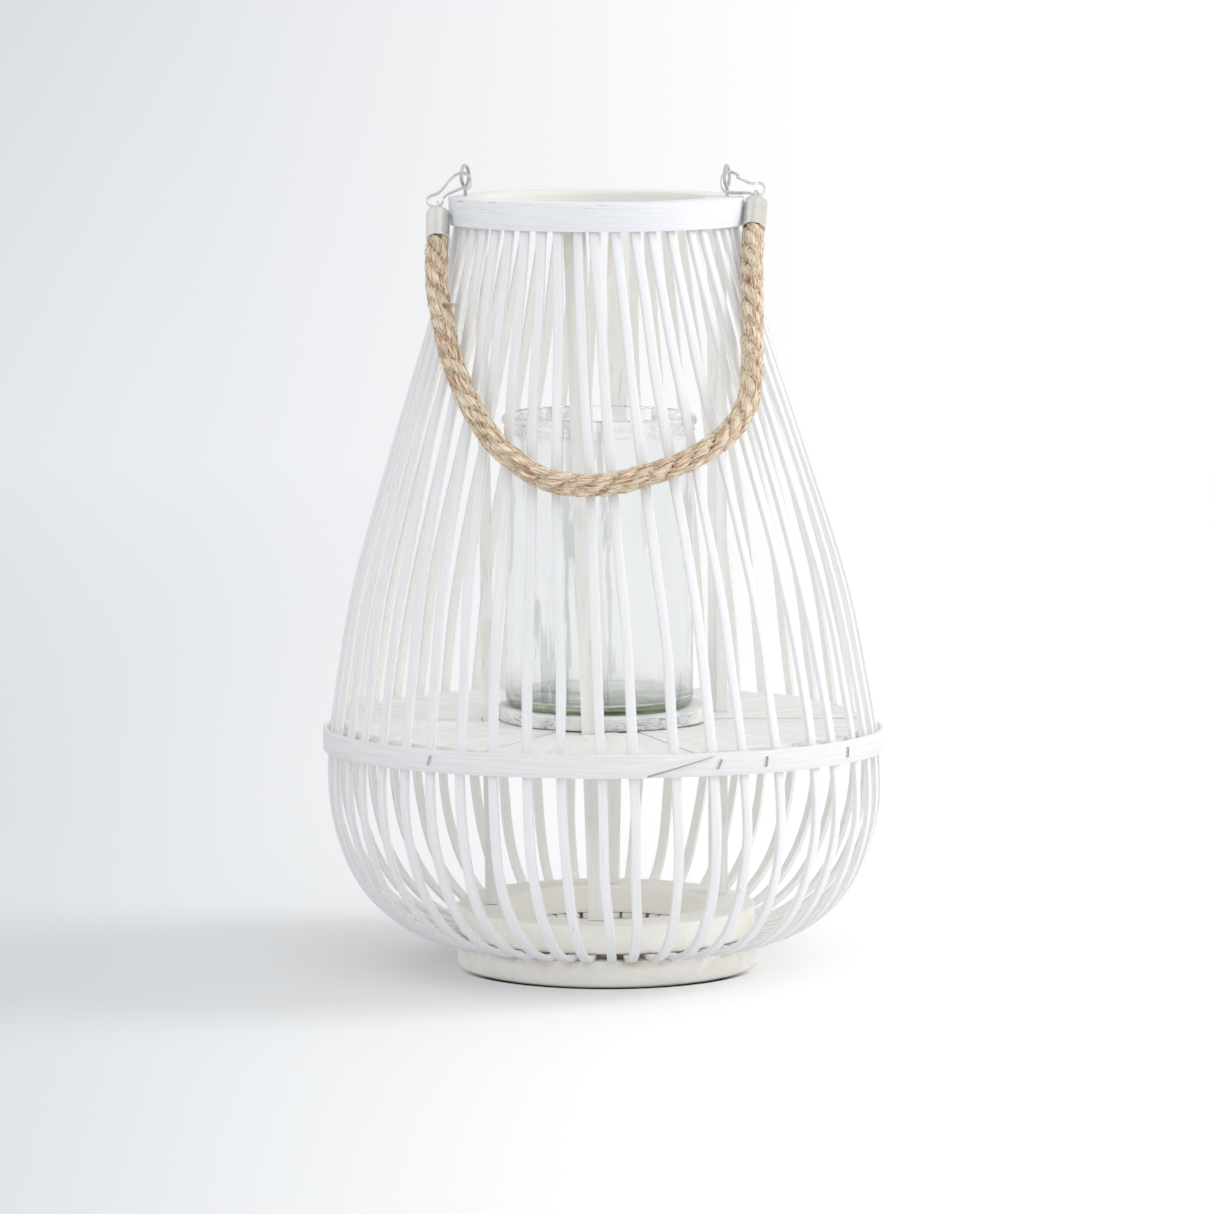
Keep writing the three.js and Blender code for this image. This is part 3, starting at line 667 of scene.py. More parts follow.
def rib_mesh(name, angle, rng, v_start):
    """One split-bamboo rib: a flat strip bent over the pear outline."""
    face = spline(RIB_FACE, RIB_STATIONS)
    tangent = unit_rows(np.gradient(face, axis=0))
    inward = np.stack([tangent[:, 1], -tangent[:, 0]], 1)
    length = arc_lengths(face)
    below_top, above_base, from_hoop = 380 - face[:, 1], face[:, 1] - 16, face[:, 1] - HOOP_Z + 0.5
    free = np.clip(below_top / 60, 0, 1) * np.clip(above_base / 40, 0, 1)
    free *= np.clip(np.abs(from_hoop) / 50, 0, 1)
    sway = 1.3 * free * slow_noise(length, 260, rng)
    width = RIB_WIDTH * (1 + 0.05 * slow_noise(length, 140, rng)) * rng.uniform(0.93, 1.05)
    twist = 0.10 * free * slow_noise(length, 300, rng)
    sections = []
    for i in range(RIB_STATIONS):
        outline = rounded_strip(width[i] / 2, RIB_DEPTH, 0.55, crown=0.12)
        across, deep = outline[:, 0], outline[:, 1]
        tilt_across = across + twist[i] * deep
        tilt_deep = deep + twist[i] * across * free[i]
        radius = face[i, 0] + inward[i, 0] * tilt_deep
        height = face[i, 1] + inward[i, 1] * tilt_deep
        sections.append(np.stack([tilt_across + sway[i], -radius, height], 1))
    sections = np.array(sections)
    x, z = rotated(sections[..., 0], sections[..., 2] - RIB_LEAN_Z, RIB_LEAN)
    sections[..., 0] = x
    sections[..., 2] = z + RIB_LEAN_Z
    return skinned(name, turned_to(sections, angle), v_start=v_start)


def turned_to(points, angle):
    """Points drawn at the front turned about Z, angles counted toward +X."""
    points = np.asarray(points, float)
    x, y = rotated(points[..., 0], points[..., 1], angle)
    return np.stack([x, y, points[..., 2]], -1)


def build_ribs():
    """Two ribs for each CAD pair, hung where the pair crosses the hoops."""
    rng = np.random.default_rng(48)
    for pair in range(1, 25):
        node = f"rib_pair_{pair:02d}"
        for letter, angle in zip("ab", rib_angles(node)):
            mesh = rib_mesh(f"rib_{pair:02d}{letter}", angle, rng, rng.uniform(0, 40))
            add_piece(mesh, CANE, node)


MOUTH_R = 55.0
REBATE_R = 70.0  # the top ring steps in to this below its lip, where the ribs end
LIP_THICK = 3.6
BAND_THICK = 1.5


def build_rings():
    """The turned rings at the top and the foot, and the band round the top one."""
    lip_low = TOP_HIGH - LIP_THICK
    band_inner = BAND_R - BAND_THICK
    top = [
        (MOUTH_R, TOP_LOW + 1.4), (MOUTH_R + 0.4, TOP_LOW + 0.4), (MOUTH_R + 1.4, TOP_LOW),
        (REBATE_R, TOP_LOW), (REBATE_R, lip_low), (band_inner - 0.4, lip_low),
        (band_inner - 0.3, TOP_HIGH - 0.5), (band_inner - 0.7, TOP_HIGH - 0.1),
        (MOUTH_R + 11, TOP_HIGH), (MOUTH_R + 2.5, TOP_HIGH), (MOUTH_R + 1.2, TOP_HIGH - 0.3),
        (MOUTH_R + 0.3, TOP_HIGH - 1.1), (MOUTH_R, TOP_HIGH - 2.2),
    ]
    add_piece(turned("top_ring_wood", top), RING_WOOD, "top_ring")
    band = eased_box_profile(band_inner, BAND_R, TOP_LOW, TOP_HIGH, 0.45)
    add_piece(turned("top_band_strip", band, wobble=0.12, seed=5), BAND_WOOD, "top_band")
    foot = eased_box_profile(50.0, FOOT_R, FOOT_LOW, FOOT_HIGH, 1.5, 2.2)
    add_piece(turned("foot_ring_wood", foot), BASE_WOOD, "foot_ring")
    upper = eased_box_profile(52.5, UPPER_R, UPPER_LOW, UPPER_HIGH, 1.4, 2.6)
    add_piece(turned("base_ring_wood", upper), BASE_WOOD, "base_ring_upper")


def tilted(points):
    """Points of the outer hoop, tipped with the front edge up and raised."""
    points = np.asarray(points, float)
    y, z = rotated(points[..., 1], points[..., 2], -HOOP_TILT)
    return np.stack([points[..., 0], y, z + HOOP_Z], -1)


# Degrees round the outer hoop's strip, counted from the front toward +X.
HOOP_START, HOOP_END = -8, 382
LAP_START, LAP_DONE = 322, 350  # where the strip climbs over its own beginning
CUT_START = 368  # where the slanted cut of its end begins


def build_outer_hoop():
    """The long strip that runs past a full turn, its end cut on a slant."""
    rng = np.random.default_rng(12)
    degrees = np.linspace(HOOP_START, HOOP_END, 520)
    lap = np.clip((degrees - LAP_START) / (LAP_DONE - LAP_START), 0, 1)
    lap = lap * lap * (3 - 2 * lap)
    taper = np.clip((degrees - CUT_START) / (HOOP_END - CUT_START), 0, 1)
    edge = 0.28 * slow_noise(degrees, 70, rng)
    bulge = 0.15 * slow_noise(degrees, 45, rng)
    sections = []
    for i, angle in enumerate(np.radians(degrees)):
        outer = HOOP_R + HOOP_THICK + lap[i] * (HOOP_THICK + 0.3) + bulge[i] * 0.4
        high = HOOP_TALL / 2 + edge[i]
        low = -HOOP_TALL / 2 + edge[i] * 0.6 + taper[i] * (HOOP_TALL - 1.6)
        outline = rounded_strip((high - low) / 2, HOOP_THICK, 0.4, crown=0.1)
        height = (high + low) / 2 + outline[:, 0]
        sections.append(level_section(outer - outline[:, 1], angle, height))
    mesh = skinned("hoop_strip", tilted(sections))
    cut = np.zeros((len(sections), len(sections[0])))
    cut[taper > 0.01, 9:12] = 1.0  # lower corner of the strip's front face, where the gap's shade is painted
    paint_values(mesh, "cut", cut)
    add_piece(mesh, HOOP_LOOK, "hoop_outer")


def build_inner_hoop():
    """Thin strips wound inside the ribs, their edges not quite level."""
    for layer in range(3):
        rng = np.random.default_rng(30 + layer)
        outer = INNER_HOOP_R - 0.05 - 0.75 * layer
        angles = round_turns(240)
        wave = slow_noise(angles * 40, 2 * np.pi * 40, rng)
        sections = []
        for angle, lift in zip(angles, wave):
            high = INNER_HOOP_HIGH - 0.4 + 0.9 * lift - 0.5 * layer
            low = INNER_HOOP_LOW + 0.8 + 0.7 * lift
            outline = rounded_strip((high - low) / 2, 0.65, 0.2)
            height = (high + low) / 2 + outline[:, 0]
            sections.append(level_section(outer - outline[:, 1], angle, height))
        mesh = skinned(f"inner_hoop_{layer + 1}", sections, ring=True)
        add_piece(mesh, HOOP_LOOK, "hoop_inner")


STAPLE_LEANS = (-0.35, -0.44, -0.17, -0.09)
STAPLE_LINE = [  # height and depth along a staple, its crown proud of the hoop
    (-2.3, 0.45), (-2.3, -0.05), (-2.0, -0.3), (0, -0.38), (2.0, -0.3), (2.3, -0.05),
    (2.3, 0.45),
]


def build_staples():
    """Bent wire crowns, each a little askew, pressed on the outer hoop."""
    for number in range(1, 5):
        node = f"staple_{number}"
        points = cad_points(node)
        middle = Vector((points.min(0) + points.max(0)) / 2)
        angle = math.atan2(middle.x, -middle.y)
        radius = math.hypot(middle.x, middle.y)
        lean = STAPLE_LEANS[number - 1]
        path = spline(STAPLE_LINE, 22)
        last = len(path) - 1
        turns = round_turns(8)
        sections = []
        for i, (up, deep) in enumerate(path):
            step = path[min(i + 1, last)] - path[max(i - 1, 0)]
            step /= np.linalg.norm(step)
            across = 0.48 * np.cos(turns)
            out = 0.32 * np.sin(turns)
            up_here = up - out * step[1]
            deep_here = deep + out * step[0]
            x, z = rotated(across, up_here, lean)
            sections.append(np.stack([x, -(radius - deep_here), z + middle.z], 1))
        mesh = skinned(f"staple_wire_{number}", turned_to(sections, angle))
        add_piece(mesh, STAPLE, node)


def dress_cad_wood():
    """Posts and shelf boards keep their CAD shape, with eased edges and grain."""
    for node in frame["nodes"]:
        if node.startswith("post_"):
            wear_edges(node, POST_WOOD, 0.0007)
        if node.startswith("shelf_board_"):
            low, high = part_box(node)
            middle = (Vector(low) + Vector(high)) / 2
            angle = math.degrees(math.atan2(middle.x, -middle.y))
            wear_edges(node, board_wood(angle), 0.0004)


def wear_edges(node, look, width):
    """Eases a CAD node's sharp edges and gives it a look."""
    piece = frame["nodes"][node]
    ease = piece.modifiers.new("eased_edges", "BEVEL")
    ease.width = width
    ease.segments = 2
    ease.limit_method = "ANGLE"
    ease.angle_limit = math.radians(35)
    for material_slot in piece.material_slots:
        material_slot.material = look


def build_seat():
    """The round board that the glass stands on."""
    profile = eased_box_profile(0.4, SEAT_R, SEAT_LOW, SEAT_HIGH, 1.1, 0.3)
    mesh = turned("seat_disc", profile, wobble=0.1, seed=9)
    add_piece(mesh, SEAT_WOOD, "glass_seat")


# ------------ glass

BEAD_PROUD = 2.0  # how far the rim's bead stands out from the wall
GLASS_WALL = 2.8
GLASS_FLOOR = 4.5


def build_glass():
    """Hand-made cylinder: rolled bead on a narrow ring, thick rounded floor."""
    wall = RIM_R - BEAD_PROUD
    bore = wall - GLASS_WALL
    top, low = GLASS_HIGH, GLASS_LOW
    outline = [
        (0.05, low + 1.2), (wall - 9, low + 0.6), (wall - 4, low), (wall - 1.4, low + 0.7),
        (wall - 0.3, low + 2.6), (wall, low + 6), (wall, low + 40), (wall, top - 40),
        (wall, top - 11), (wall + 0.2, top - 9.4), (wall + 0.8, top - 8.4),
        (wall + 0.8, top - 7.4), (wall + 0.2, top - 6.4), (wall + 0.9, top - 5.4),
        (RIM_R - 0.1, top - 4.2), (RIM_R, top - 2.8), (RIM_R - 0.5, top - 1.1),
        (RIM_R - 1.7, top - 0.1), (bore + 1.6, top), (bore + 0.5, top - 0.7),
        (bore, top - 2.4), (bore, top - 20), (bore, low + 40), (bore, low + 8.5),
        (bore - 0.5, low + 6.2), (bore - 1.8, low + 5.0), (bore - 5, low + 4.6),
        (0.05, low + GLASS_FLOOR),
    ]
    low_x, high_x = span("hurricane_glass", 0)
    mesh = turned("glass_cylinder", outline, steps=128, wobble=0.12, seed=3,
                  off_x=(low_x + high_x) / 2)
    add_piece(mesh, GLASS, "hurricane_glass")


# ------------ handle

def hung(points):
    """Points drawn in the handle's plane (u, v, w) as they hang at rest."""
    points = np.asarray(points, float)
    out, down = rotated(points[..., 2], points[..., 1], HANG)
    return np.stack([points[..., 0], out, HINGE_Z - down], -1)


def tube(centres, radii, sides):
    """Round sections along a line that stays near one plane."""
    centres = np.asarray(centres, float)
    tangents = unit_rows(np.gradient(centres, axis=0))
    side = unit_rows(np.cross(tangents, (0.0, 0.0, 1.0)))
    up = np.cross(side, tangents)
    turns = round_turns(sides)
    radii = np.broadcast_to(np.asarray(radii, float).reshape(len(centres), -1),
                            (len(centres), sides))
    cos, sin = np.cos(turns), np.sin(turns)
    return (centres[:, None] + (radii * cos)[..., None] * side[:, None]
            + (radii * sin)[..., None] * up[:, None])


ROPE_LINE = [
    (-80.9, 25.2), (-80.9, 33), (-81, 41), (-81.7, 55), (-80.9, 72), (-78, 90), (-75, 108),
    (-69.8, 126), (-62.8, 144), (-53.3, 161.5), (-39.5, 176.5), (-24.5, 186),
    (-8, 188.5), (8, 187.2), (24, 182.5), (41, 175.5), (57, 164.8), (68.5, 152),
    (75, 137), (77.2, 119), (77.6, 100), (78.2, 82), (78.4, 64), (78.8, 48),
    (79.9, 34.5), (80.7, 26.5), (81.5, 18.2),
]
ROPE_LAY = 33.0  # length in which a strand goes once round
ROPE_HELD = 14.6  # length of rope end inside a ferrule
ROPE_STATIONS = 620
STRAND_OFF = 2.75
STRAND_R = 3.05
SEAM_R = 4.7  # strand surface nearer than this to the rope's middle lies in the seams between strands and gets painted shade
FUZZ_R = 5.4  # how far out from the rope's middle its hairs start


SQUARE = np.array([0.0, 0.0, 1.0])  # square to the handle's plane


def rope_frame(count):
    """Middle line of the rope with its in-plane normal, and the length so far."""
    line = spline([(u, v, 0.0) for u, v in ROPE_LINE], count)
    tangent = unit_rows(np.gradient(line, axis=0))
    normal = np.stack([-tangent[:, 1], tangent[:, 0], np.zeros(count)], 1)
    return line, normal, arc_lengths(line)


def build_rope():
    """Three strands laid left-handed, each ridged by its own yarns."""
    count = ROPE_STATIONS
    line, normal, length = rope_frame(count)
    total = length[-1]
    cup = np.clip(np.minimum(length, total - length) - ROPE_HELD, 0, 3) / 3
    for strand in range(3):
        rng = np.random.default_rng(70 + strand)
        turn = -2 * np.pi * length / ROPE_LAY + 2 * np.pi * strand / 3
        turn += 0.3 * slow_noise(length, 55, rng)
        reach = (STRAND_OFF + 0.25 * slow_noise(length, 38, rng)) * (0.84 + 0.16 * cup)
        centre = line + reach[:, None] * circling(turn, normal, SQUARE)
        sides = 40
        around = round_turns(sides)
        yarn_turn = around[None, :] + (2 * np.pi * length / 34)[:, None]
        ridge = np.abs(np.cos(3.0 * yarn_turn + 0.6 * slow_noise(length, 30, rng)[:, None]))
        coarse = 0.2 * slow_noise(length, 13, rng)[:, None]
        lumps = 0.12 * rng.standard_normal((count, sides))
        lumps = (lumps + np.roll(lumps, 1, 0) + np.roll(lumps, 2, 0)) / 1.8
        radii = (STRAND_R + coarse + 0.45 * ridge - 0.3 + lumps) * (0.86 + 0.14 * cup)[:, None]
        surface = tube(centre, radii, sides)
        depth = np.linalg.norm(surface - line[:, None], axis=2)
        mesh = skinned(f"rope_strand_{strand + 1}", hung(surface), v_start=strand * 0.7)
        # painted shade mask, one deep in the seams between strands
        paint_values(mesh, "seam_shade", np.clip((SEAM_R - depth) / 1.7, 0, 1))
        add_piece(mesh, JUTE, "rope")


def fibre_paths(amount, longest, lift, rng):
    """Thin hairs that leave the rope's surface at a low angle."""
    line, normal, length = rope_frame(ROPE_STATIONS)
    total = length[-1]
    stations = np.arange(ROPE_STATIONS)
    paths = []
    for _ in range(amount):
        start = rng.uniform(16, total - 16)  # root of the hair, clear of the ferrules
        turn = rng.uniform(0, 2 * np.pi)
        reach = rng.uniform(0.25, 1.0) ** 2 * longest
        direction = rng.choice([-1, 1])
        spin = rng.normal(0, 0.5)
        rise = abs(rng.normal(0, 1)) * lift
        curl = rng.normal(0, 0.35)
        steps = np.linspace(0, 1, 6)
        at = np.clip(start + direction * reach * steps, 14.5, total - 14.5)
        index = np.interp(at, length, stations)
        here = np.stack([np.interp(index, stations, line[:, k]) for k in range(3)], 1)
        out = np.stack([np.interp(index, stations, normal[:, k]) for k in range(3)], 1)
        angle = turn + spin * steps + curl * steps**2
        radius = FUZZ_R + rise * steps**1.5
        paths.append(here + radius[:, None] * circling(angle, out, SQUARE))
    return paths


def tuft_paths(root, reach, amount, rng):
    """A few hairs that spring together from one spot on the rope's front."""
    paths = []
    steps = np.linspace(0, 1, 6)
    for _ in range(amount):
        length = rng.uniform(0.6, 1.0)
        spread = rng.normal(0, 0.12)
        u = root[0] + rng.normal(0, 0.8) + steps * length * (reach[0] - spread * reach[1])
        v = root[1] + rng.normal(0, 0.8) + steps * length * (reach[1] + spread * reach[0])
        w = -5.2 - 0.3 * steps
        paths.append(np.stack([u, v, w], 1))
    return paths


def build_fibres(name, paths, thickness, look):
    """One mesh of many three-sided hairs, each thinning to its tip."""
    points, faces, uvs = [], [], []
    for number, path in enumerate(paths):
        radii = thickness * np.linspace(1.0, 0.35, len(path))
        part, part_faces, part_uvs = skin(tube(path, radii, 3), v_start=number * 0.013)
        start = sum(len(p) for p in points)
        points.append(part)
        faces += [tuple(corner + start for corner in face) for face in part_faces]
        uvs += part_uvs
    add_piece(make_mesh(name, hung(np.vstack(points)), faces, uvs), look, "rope")


def build_fuzz():
    """Pale and brown nap, loose strays, and two spots where hairs spring out."""
    rng = np.random.default_rng(90)
    build_fibres("rope_nap", fibre_paths(2300, 15, 0.4, rng), 0.18, FIBRE)
    build_fibres("rope_brown_nap", fibre_paths(1000, 10, 0.3, rng), 0.16, BROWN_FIBRE)
    build_fibres("rope_strays", fibre_paths(520, 17, 2.9, rng), 0.07, FIBRE)
    build_fibres("rope_tuft", tuft_paths((-78, 84), (9, 0), 16, rng), 0.1, BROWN_FIBRE)
    build_fibres("rope_sprout", tuft_paths((-53, 158), (-9, 9), 7, rng), 0.08, BROWN_FIBRE)


def wire_strip(name, line, width, thick, count, node):
    """Flat spring strip bent along a smooth line in the handle's plane."""
    path = spline(line, count)
    tangent = unit_rows(np.gradient(path, axis=0))
    side = np.stack([-tangent[:, 1], tangent[:, 0]], 1)
    outline = rounded_strip(width / 2, thick, 0.2)
    sections = []
    for centre, out in zip(path, side):
        deep = outline[:, 1] - thick / 2
        sections.append(np.stack([centre[0] + out[0] * deep, centre[1] + out[1] * deep,
                                  outline[:, 0]], 1))
    add_piece(skinned(name, hung(sections)), NICKEL, node)


# Each clip is a bent strip with a free arm, its gate. The crown is where the top of
# the ferrule hangs, slant how far it leans inward, and turn how its eyelet is twisted.
LEFT_END = {
    "frame": [
        (67.2, 8.6), (65, 7.4), (63.9, 5.3), (64, 2.4), (65.8, -0.6), (68.4, -1.6),
        (71.4, -0.9), (74.4, 2), (77.6, 6.6), (80.2, 10.2), (82.5, 11.7), (85.1, 12.8),
        (86.6, 14.8), (86.3, 17.2), (84.6, 19), (82.2, 19.5), (79.9, 18.6), (78.4, 16.2),
    ],
    "gate": [(78.1, 13.9), (76.3, 11.6), (74, 10.4), (70.8, 8.7), (67.4, 7)],
    "crown": (80.9, 22.2), "slant": 0.0, "turn": 0.0,
}
RIGHT_END = {
    "frame": [
        (73.3, 0), (70.9, -1.8), (68.5, -2.5), (66.2, -1.8), (64.5, 0.4), (63.8, 3.7),
        (64.2, 7.2), (65.8, 9.6), (68.6, 10.4), (72.4, 10.6), (76, 10.6), (78.8, 11.2),
        (81, 12.1), (83, 12.3), (84.9, 11.4), (86.1, 9.5), (86.2, 7.2), (85, 5.2),
        (83, 4.4),
    ],
    "gate": [(81.9, 4.7), (79.6, 4.9), (76.2, 3.3), (72, 0.8)],
    "crown": (81.8, 15.2), "slant": 5.5, "turn": 25.0,
}
FERRULE_TALL = 17.8
FERRULE_R = 6.1
FERRULE_WALL = 0.9
EYELET_R = 2.4
EYELET_WIRE = 0.6  # half the thickness of its wire
EYELET_ABOVE = 3.0  # middle of the eyelet's loop over the ferrule's crown
EYE_X = 67.1
EYE_LOOP_R = 5.3
EYE_WIRE = 0.9  # half the thickness of its wire


def build_clip(side_name, side, shape):
    """The bent strip of a clip and the free arm that closes it."""
    frame_line = [(side * u, v) for u, v in shape["frame"]]
    gate_line = [(side * u, v) for u, v in shape["gate"]]
    wire_strip(f"clip_strip_{side_name}", frame_line, 2.4, 0.7, 110,
               f"snap_clip_{side_name}")
    wire_strip(f"gate_strip_{side_name}", gate_line, 2.2, 0.6, 36,
               f"clip_gate_{side_name}")


def under_crown(points, side, end):
    """Points drawn below a ferrule's crown as (u, v, w), set at that handle end."""
    points = np.asarray(points, float)
    crown_u, crown_v = end["crown"]
    u, v = rotated(points[..., 0], points[..., 1], math.radians(side * end["slant"]))
    return np.stack([side * crown_u + u, crown_v + v, points[..., 2]], -1)


def eyelet_loop(turn_degrees):
    """Ring of wire that stands on the crown, twisted about the ferrule's axis."""
    twist = math.radians(90 + turn_degrees)
    sections = []
    for turn in round_turns(72):
        around = round_turns(12)
        radius = EYELET_R + EYELET_WIRE * np.cos(around)
        reach = radius * math.cos(turn)
        thick = EYELET_WIRE * np.sin(around)
        u = reach * math.cos(twist) + thick * math.sin(twist)
        w = -reach * math.sin(twist) + thick * math.cos(twist)
        v = radius * math.sin(turn) - EYELET_ABOVE
        sections.append(np.stack([u, v, w], 1))
    return np.array(sections)


def round_sections(outline, steps):
    """Sections of a body turned about the ferrule's axis from (radius, v) pairs."""
    return np.array([[(r * math.cos(angle), v, r * math.sin(angle)) for r, v in outline]
                     for angle in round_turns(steps)])


def build_ferrule(side_name, side, end):
    """Crimped nickel cup, its crown rounded, with the loop that takes the clip."""
    outer, mouth = FERRULE_R, FERRULE_TALL
    bore = outer - FERRULE_WALL
    outline = [
        (0.05, 0), (outer - 2.4, 0.05), (outer - 1.0, 0.4), (outer - 0.25, 1.3),
        (outer - 0.05, 2.6), (outer - 0.05, 7.1), (outer - 0.05, mouth - 2.2),
        (outer, mouth - 0.9),
        (outer - 0.15, mouth - 0.1), (bore + 0.1, mouth), (bore, mouth - 0.4), (bore, 1.2),
        (0.05, 0.9),
    ]
    cup = round_sections(outline, 72)
    angles = round_turns(72)
    dents = 0.16 * np.maximum(0.0, np.cos(2 * (angles - 0.7))) ** 6
    crimped = slice(5, 7)
    cup[:, crimped, 0] -= dents[:, None] * np.cos(angles)[:, None]
    cup[:, crimped, 2] -= dents[:, None] * np.sin(angles)[:, None]
    flange = round_sections(
        [(0.05, -1.1), (1.9, -1.05), (2.2, -0.8), (2.15, -0.25), (0.05, -0.2)], 40)
    for kind, shape, node in (
        ("cup", cup, "ferrule"), ("loop", eyelet_loop(end["turn"]), "ferrule_eyelet"),
        ("flange", flange, "ferrule_eyelet"),
    ):
        placed = hung(under_crown(shape, side, end))
        mesh = skinned(f"ferrule_{kind}_{side_name}", placed, ring=True)
        add_piece(mesh, NICKEL, f"{node}_{side_name}")


def build_screw_eye(side_name, side, turn):
    """Bent wire loop whose end meets its own shank, with a plain round shank below."""
    loop_r = EYE_LOOP_R
    start = math.radians(200)
    angles = np.linspace(start, start + math.radians(338), 84)
    centres = [(0.0, 0.0, TOP_HIGH - 6), (0.0, 0.0, TOP_HIGH - 0.2),
               (0.0, 0.1, HINGE_Z - loop_r - 1.6)]
    loop = [(0.0, loop_r * math.sin(a), HINGE_Z + loop_r * math.cos(a)) for a in angles]
    line = spline(centres + loop[3::6] + [loop[-1]], 150)
    tangents = unit_rows(np.gradient(line, axis=0))
    sections = []
    around = round_turns(14)
    across = np.array([1.0, 0.0, 0.0])
    for i, (centre, tangent) in enumerate(zip(line, tangents)):
        other = np.cross(tangent, across)
        radius = EYE_WIRE * (1 - 0.35 * max(0.0, (i - 145) / 5))  # the end is nipped
        sections.append(centre + radius * circling(around, across, other))
    place = side * EYE_X
    sections = turned_to(sections, turn) + np.array([place, 0.0, 0.0])
    add_piece(skinned(f"eye_wire_{side_name}", sections), ZINC, f"screw_eye_{side_name}")


# ------------ stage

CAMERA_PLACE = (0.0, -3.2, 0.561)
CAMERA_DIP = 6.685  # degrees the camera looks down from level


def floor_look():
    """Pale floor with painted light: greyer to the left of the view and a dark painted contact shadow by the
    foot's front; its far part glows by itself, dimmer to the left and high up on the left.
    """
    look = Look("pale_floor")
    place = look.place()
    distance = look.math("ADD", place["Y"], -CAMERA_PLACE[1])
    aside = look.math("DIVIDE", place["X"], look.math("MAXIMUM", distance, 0.5))
    # painted shade: the near floor greyer to the left of the view
    near = look.mix(look.steps(aside, -0.1, 0.03), rgb(217, 220, 223), rgb(251, 251, 251))
    # painted light: the far floor and backdrop glow, dimmer and bluer to the left, with painted shade high up on
    # the left
    glow = look.mix(look.steps(aside, -0.1, 0.0), rgb(228, 232, 237), rgb(248, 248, 249))
    glow = look.mix(look.steps(aside, 0.0, 0.04), glow, (1.02, 1.02, 1.02, 1))
    high = look.steps(place["Z"], 0.0, 0.45, 0.0, 0.1)
    shade = look.times(high, look.steps(aside, 0.0, -0.09))
    glow = look.mix(shade, glow, (0, 0, 0, 1))
    # painted contact shadow: a dark ring on the floor just round the foot, on its front side only
    contact_shadow = look.steps(look.reach(), (FOOT_R + 3.2) * MM, (FOOT_R + 1.2) * MM)
    front = look.steps(place["Y"], -0.025, -0.05)
    contact_shadow = look.times(contact_shadow, front)
    near = look.mix(contact_shadow, near, rgb(24, 24, 26))
    far = look.steps(place["Y"], 0.5, 2.6)
    return look.finish(
        Base_Color=look.mix(far, near, (0, 0, 0, 1)), Roughness=0.6,
        Specular_IOR_Level=0.0, Emission_Color=glow, Emission_Strength=far)


def build_floor():
    """A pale floor that turns up into a backdrop."""
    rows = [(-4, 0), (0, 0), (2.0, 0), (3.2, 0.1), (4.0, 0.6), (4.4, 1.6), (4.5, 4.5)]
    rows = spline(np.array(rows, float), 60)
    points, faces = [], []
    for y, z in rows:
        points += [(-6.0, y, z), (6.0, y, z)]
    for i in range(len(rows) - 1):
        faces.append((2 * i, 2 * i + 1, 2 * i + 3, 2 * i + 2))
    mesh = bpy.data.meshes.new("floor")
    mesh.from_pydata(points, [], faces)
    mesh.shade_smooth()
    floor = bpy.data.objects.new("floor", mesh)
    bpy.context.scene.collection.objects.link(floor)
    mesh.materials.append(floor_look())


def add_softbox(name, place, target, size, watts, colour=(1, 1, 1)):
    data = bpy.data.lights.new(name, "AREA")
    data.shape = "RECTANGLE"
    data.size, data.size_y = size
    data.energy = watts
    data.color = colour
    lamp = bpy.data.objects.new(name, data)
    lamp.location = place
    lamp.rotation_euler = (Vector(target) - Vector(place)).to_track_quat("-Z", "Y").to_euler()
    lamp.visible_glossy = False
    bpy.context.scene.collection.objects.link(lamp)


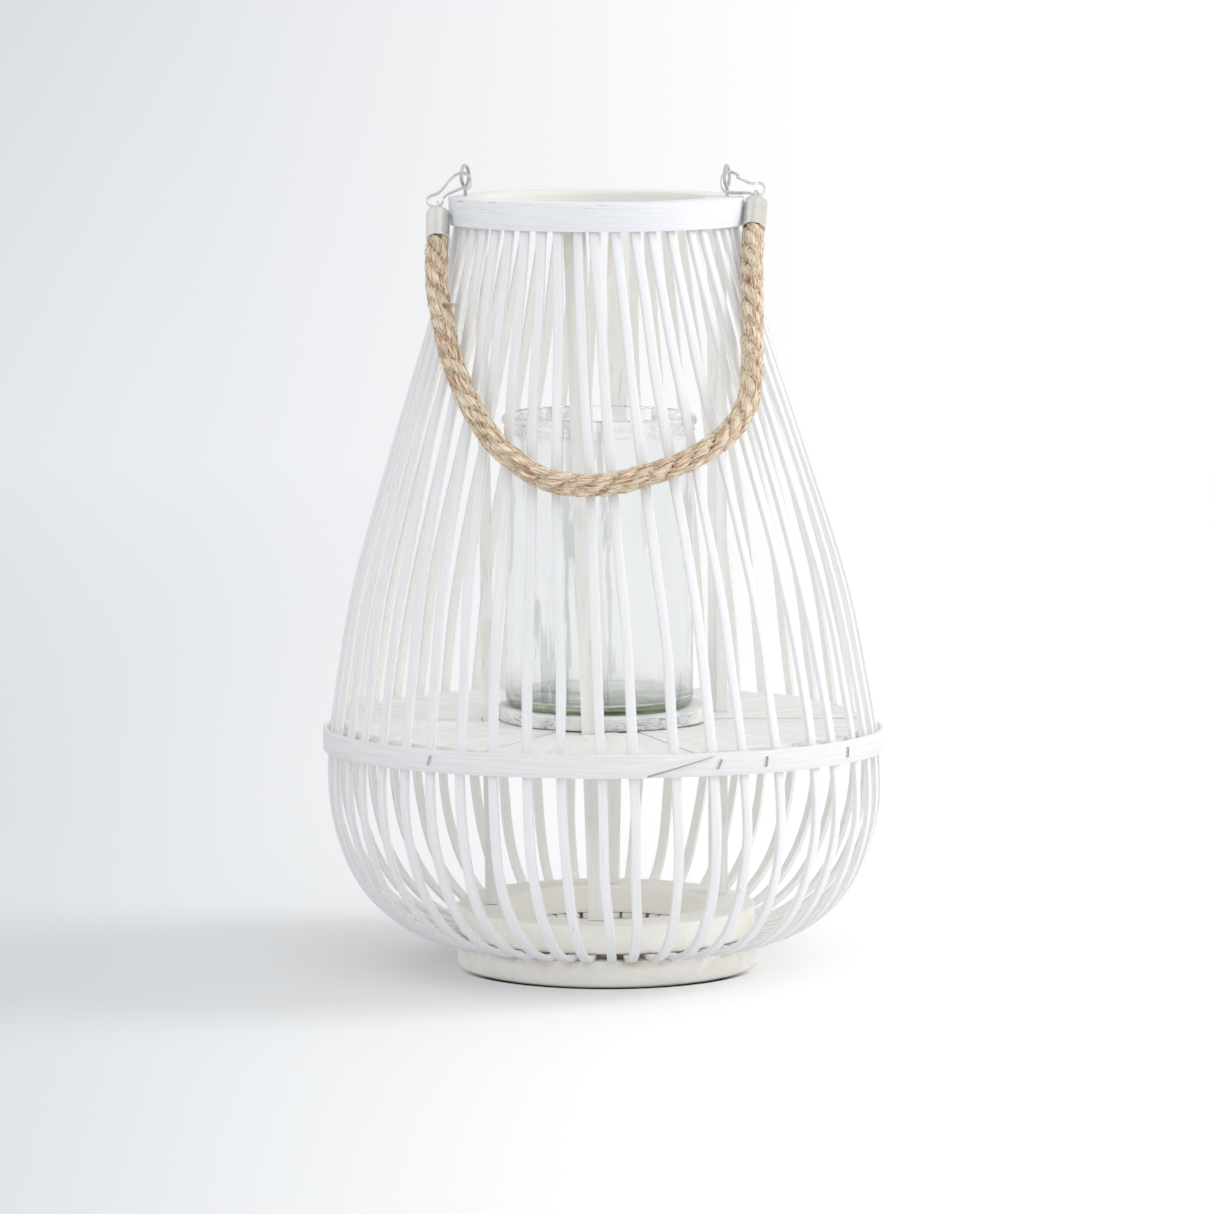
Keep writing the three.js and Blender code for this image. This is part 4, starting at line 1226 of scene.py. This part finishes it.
def build_world():
    """Bright surround with a few darker upright bands for the metal to reflect."""
    world = bpy.data.worlds.new("studio")
    bpy.context.scene.world = world
    world.use_nodes = True
    tree = world.node_tree
    background = tree.nodes["Background"]
    coords = tree.nodes.new("ShaderNodeTexCoord")
    bands = tree.nodes.new("ShaderNodeTexGradient")
    bands.gradient_type = "RADIAL"
    tree.links.new(coords.outputs["Generated"], bands.inputs["Vector"])
    ramp = tree.nodes.new("ShaderNodeValToRGB")
    stops = [(0.0, 0.95), (0.1, 0.9), (0.16, 0.55), (0.2, 0.9), (0.3, 1.0), (0.45, 1.0),
             (0.6, 0.95), (0.66, 0.7), (0.72, 0.95), (0.8, 0.62), (0.86, 0.95), (1.0, 0.95)]
    elements = ramp.color_ramp.elements
    for position, level in stops[1:-1]:
        elements.new(position).color = (level, level, level, 1)
    elements[0].color = (stops[0][1],) * 3 + (1,)
    elements[-1].color = (stops[-1][1],) * 3 + (1,)
    tree.links.new(bands.outputs["Color"], ramp.inputs["Fac"])
    tree.links.new(ramp.outputs["Color"], background.inputs["Color"])
    background.inputs["Strength"].default_value = 0.96


def build_camera():
    data = bpy.data.cameras.new("camera")
    data.lens = 185
    data.sensor_width = 36
    data.clip_end = 60
    camera = bpy.data.objects.new("camera", data)
    camera.location = CAMERA_PLACE
    camera.rotation_euler = (math.radians(90 - CAMERA_DIP), 0, 0)
    bpy.context.scene.collection.objects.link(camera)
    bpy.context.scene.camera = camera


build_ribs()
build_rings()
build_outer_hoop()
build_inner_hoop()
build_staples()
dress_cad_wood()
build_seat()
build_glass()
build_rope()
build_fuzz()
build_clip("left", -1, LEFT_END)
build_clip("right", 1, RIGHT_END)
build_ferrule("left", -1, LEFT_END)
build_ferrule("right", 1, RIGHT_END)
build_screw_eye("left", -1, math.radians(-20))
build_screw_eye("right", 1, math.radians(-15))
build_floor()
build_world()
add_softbox("key", (2.7, 0.15, 1.8), (0, 0, 0.2), (1.2, 1.2), 34)
add_softbox("front", (0.6, -3.4, 2.2), (0, 0, 0.2), (2.2, 2.2), 14.5)
add_softbox("fill", (-2.4, -1.8, 1.4), (0, 0, 0.2), (1.8, 1.8), 9, (0.97, 0.98, 1.0))
build_camera()
bpy.context.scene.view_settings.view_transform = "Standard"
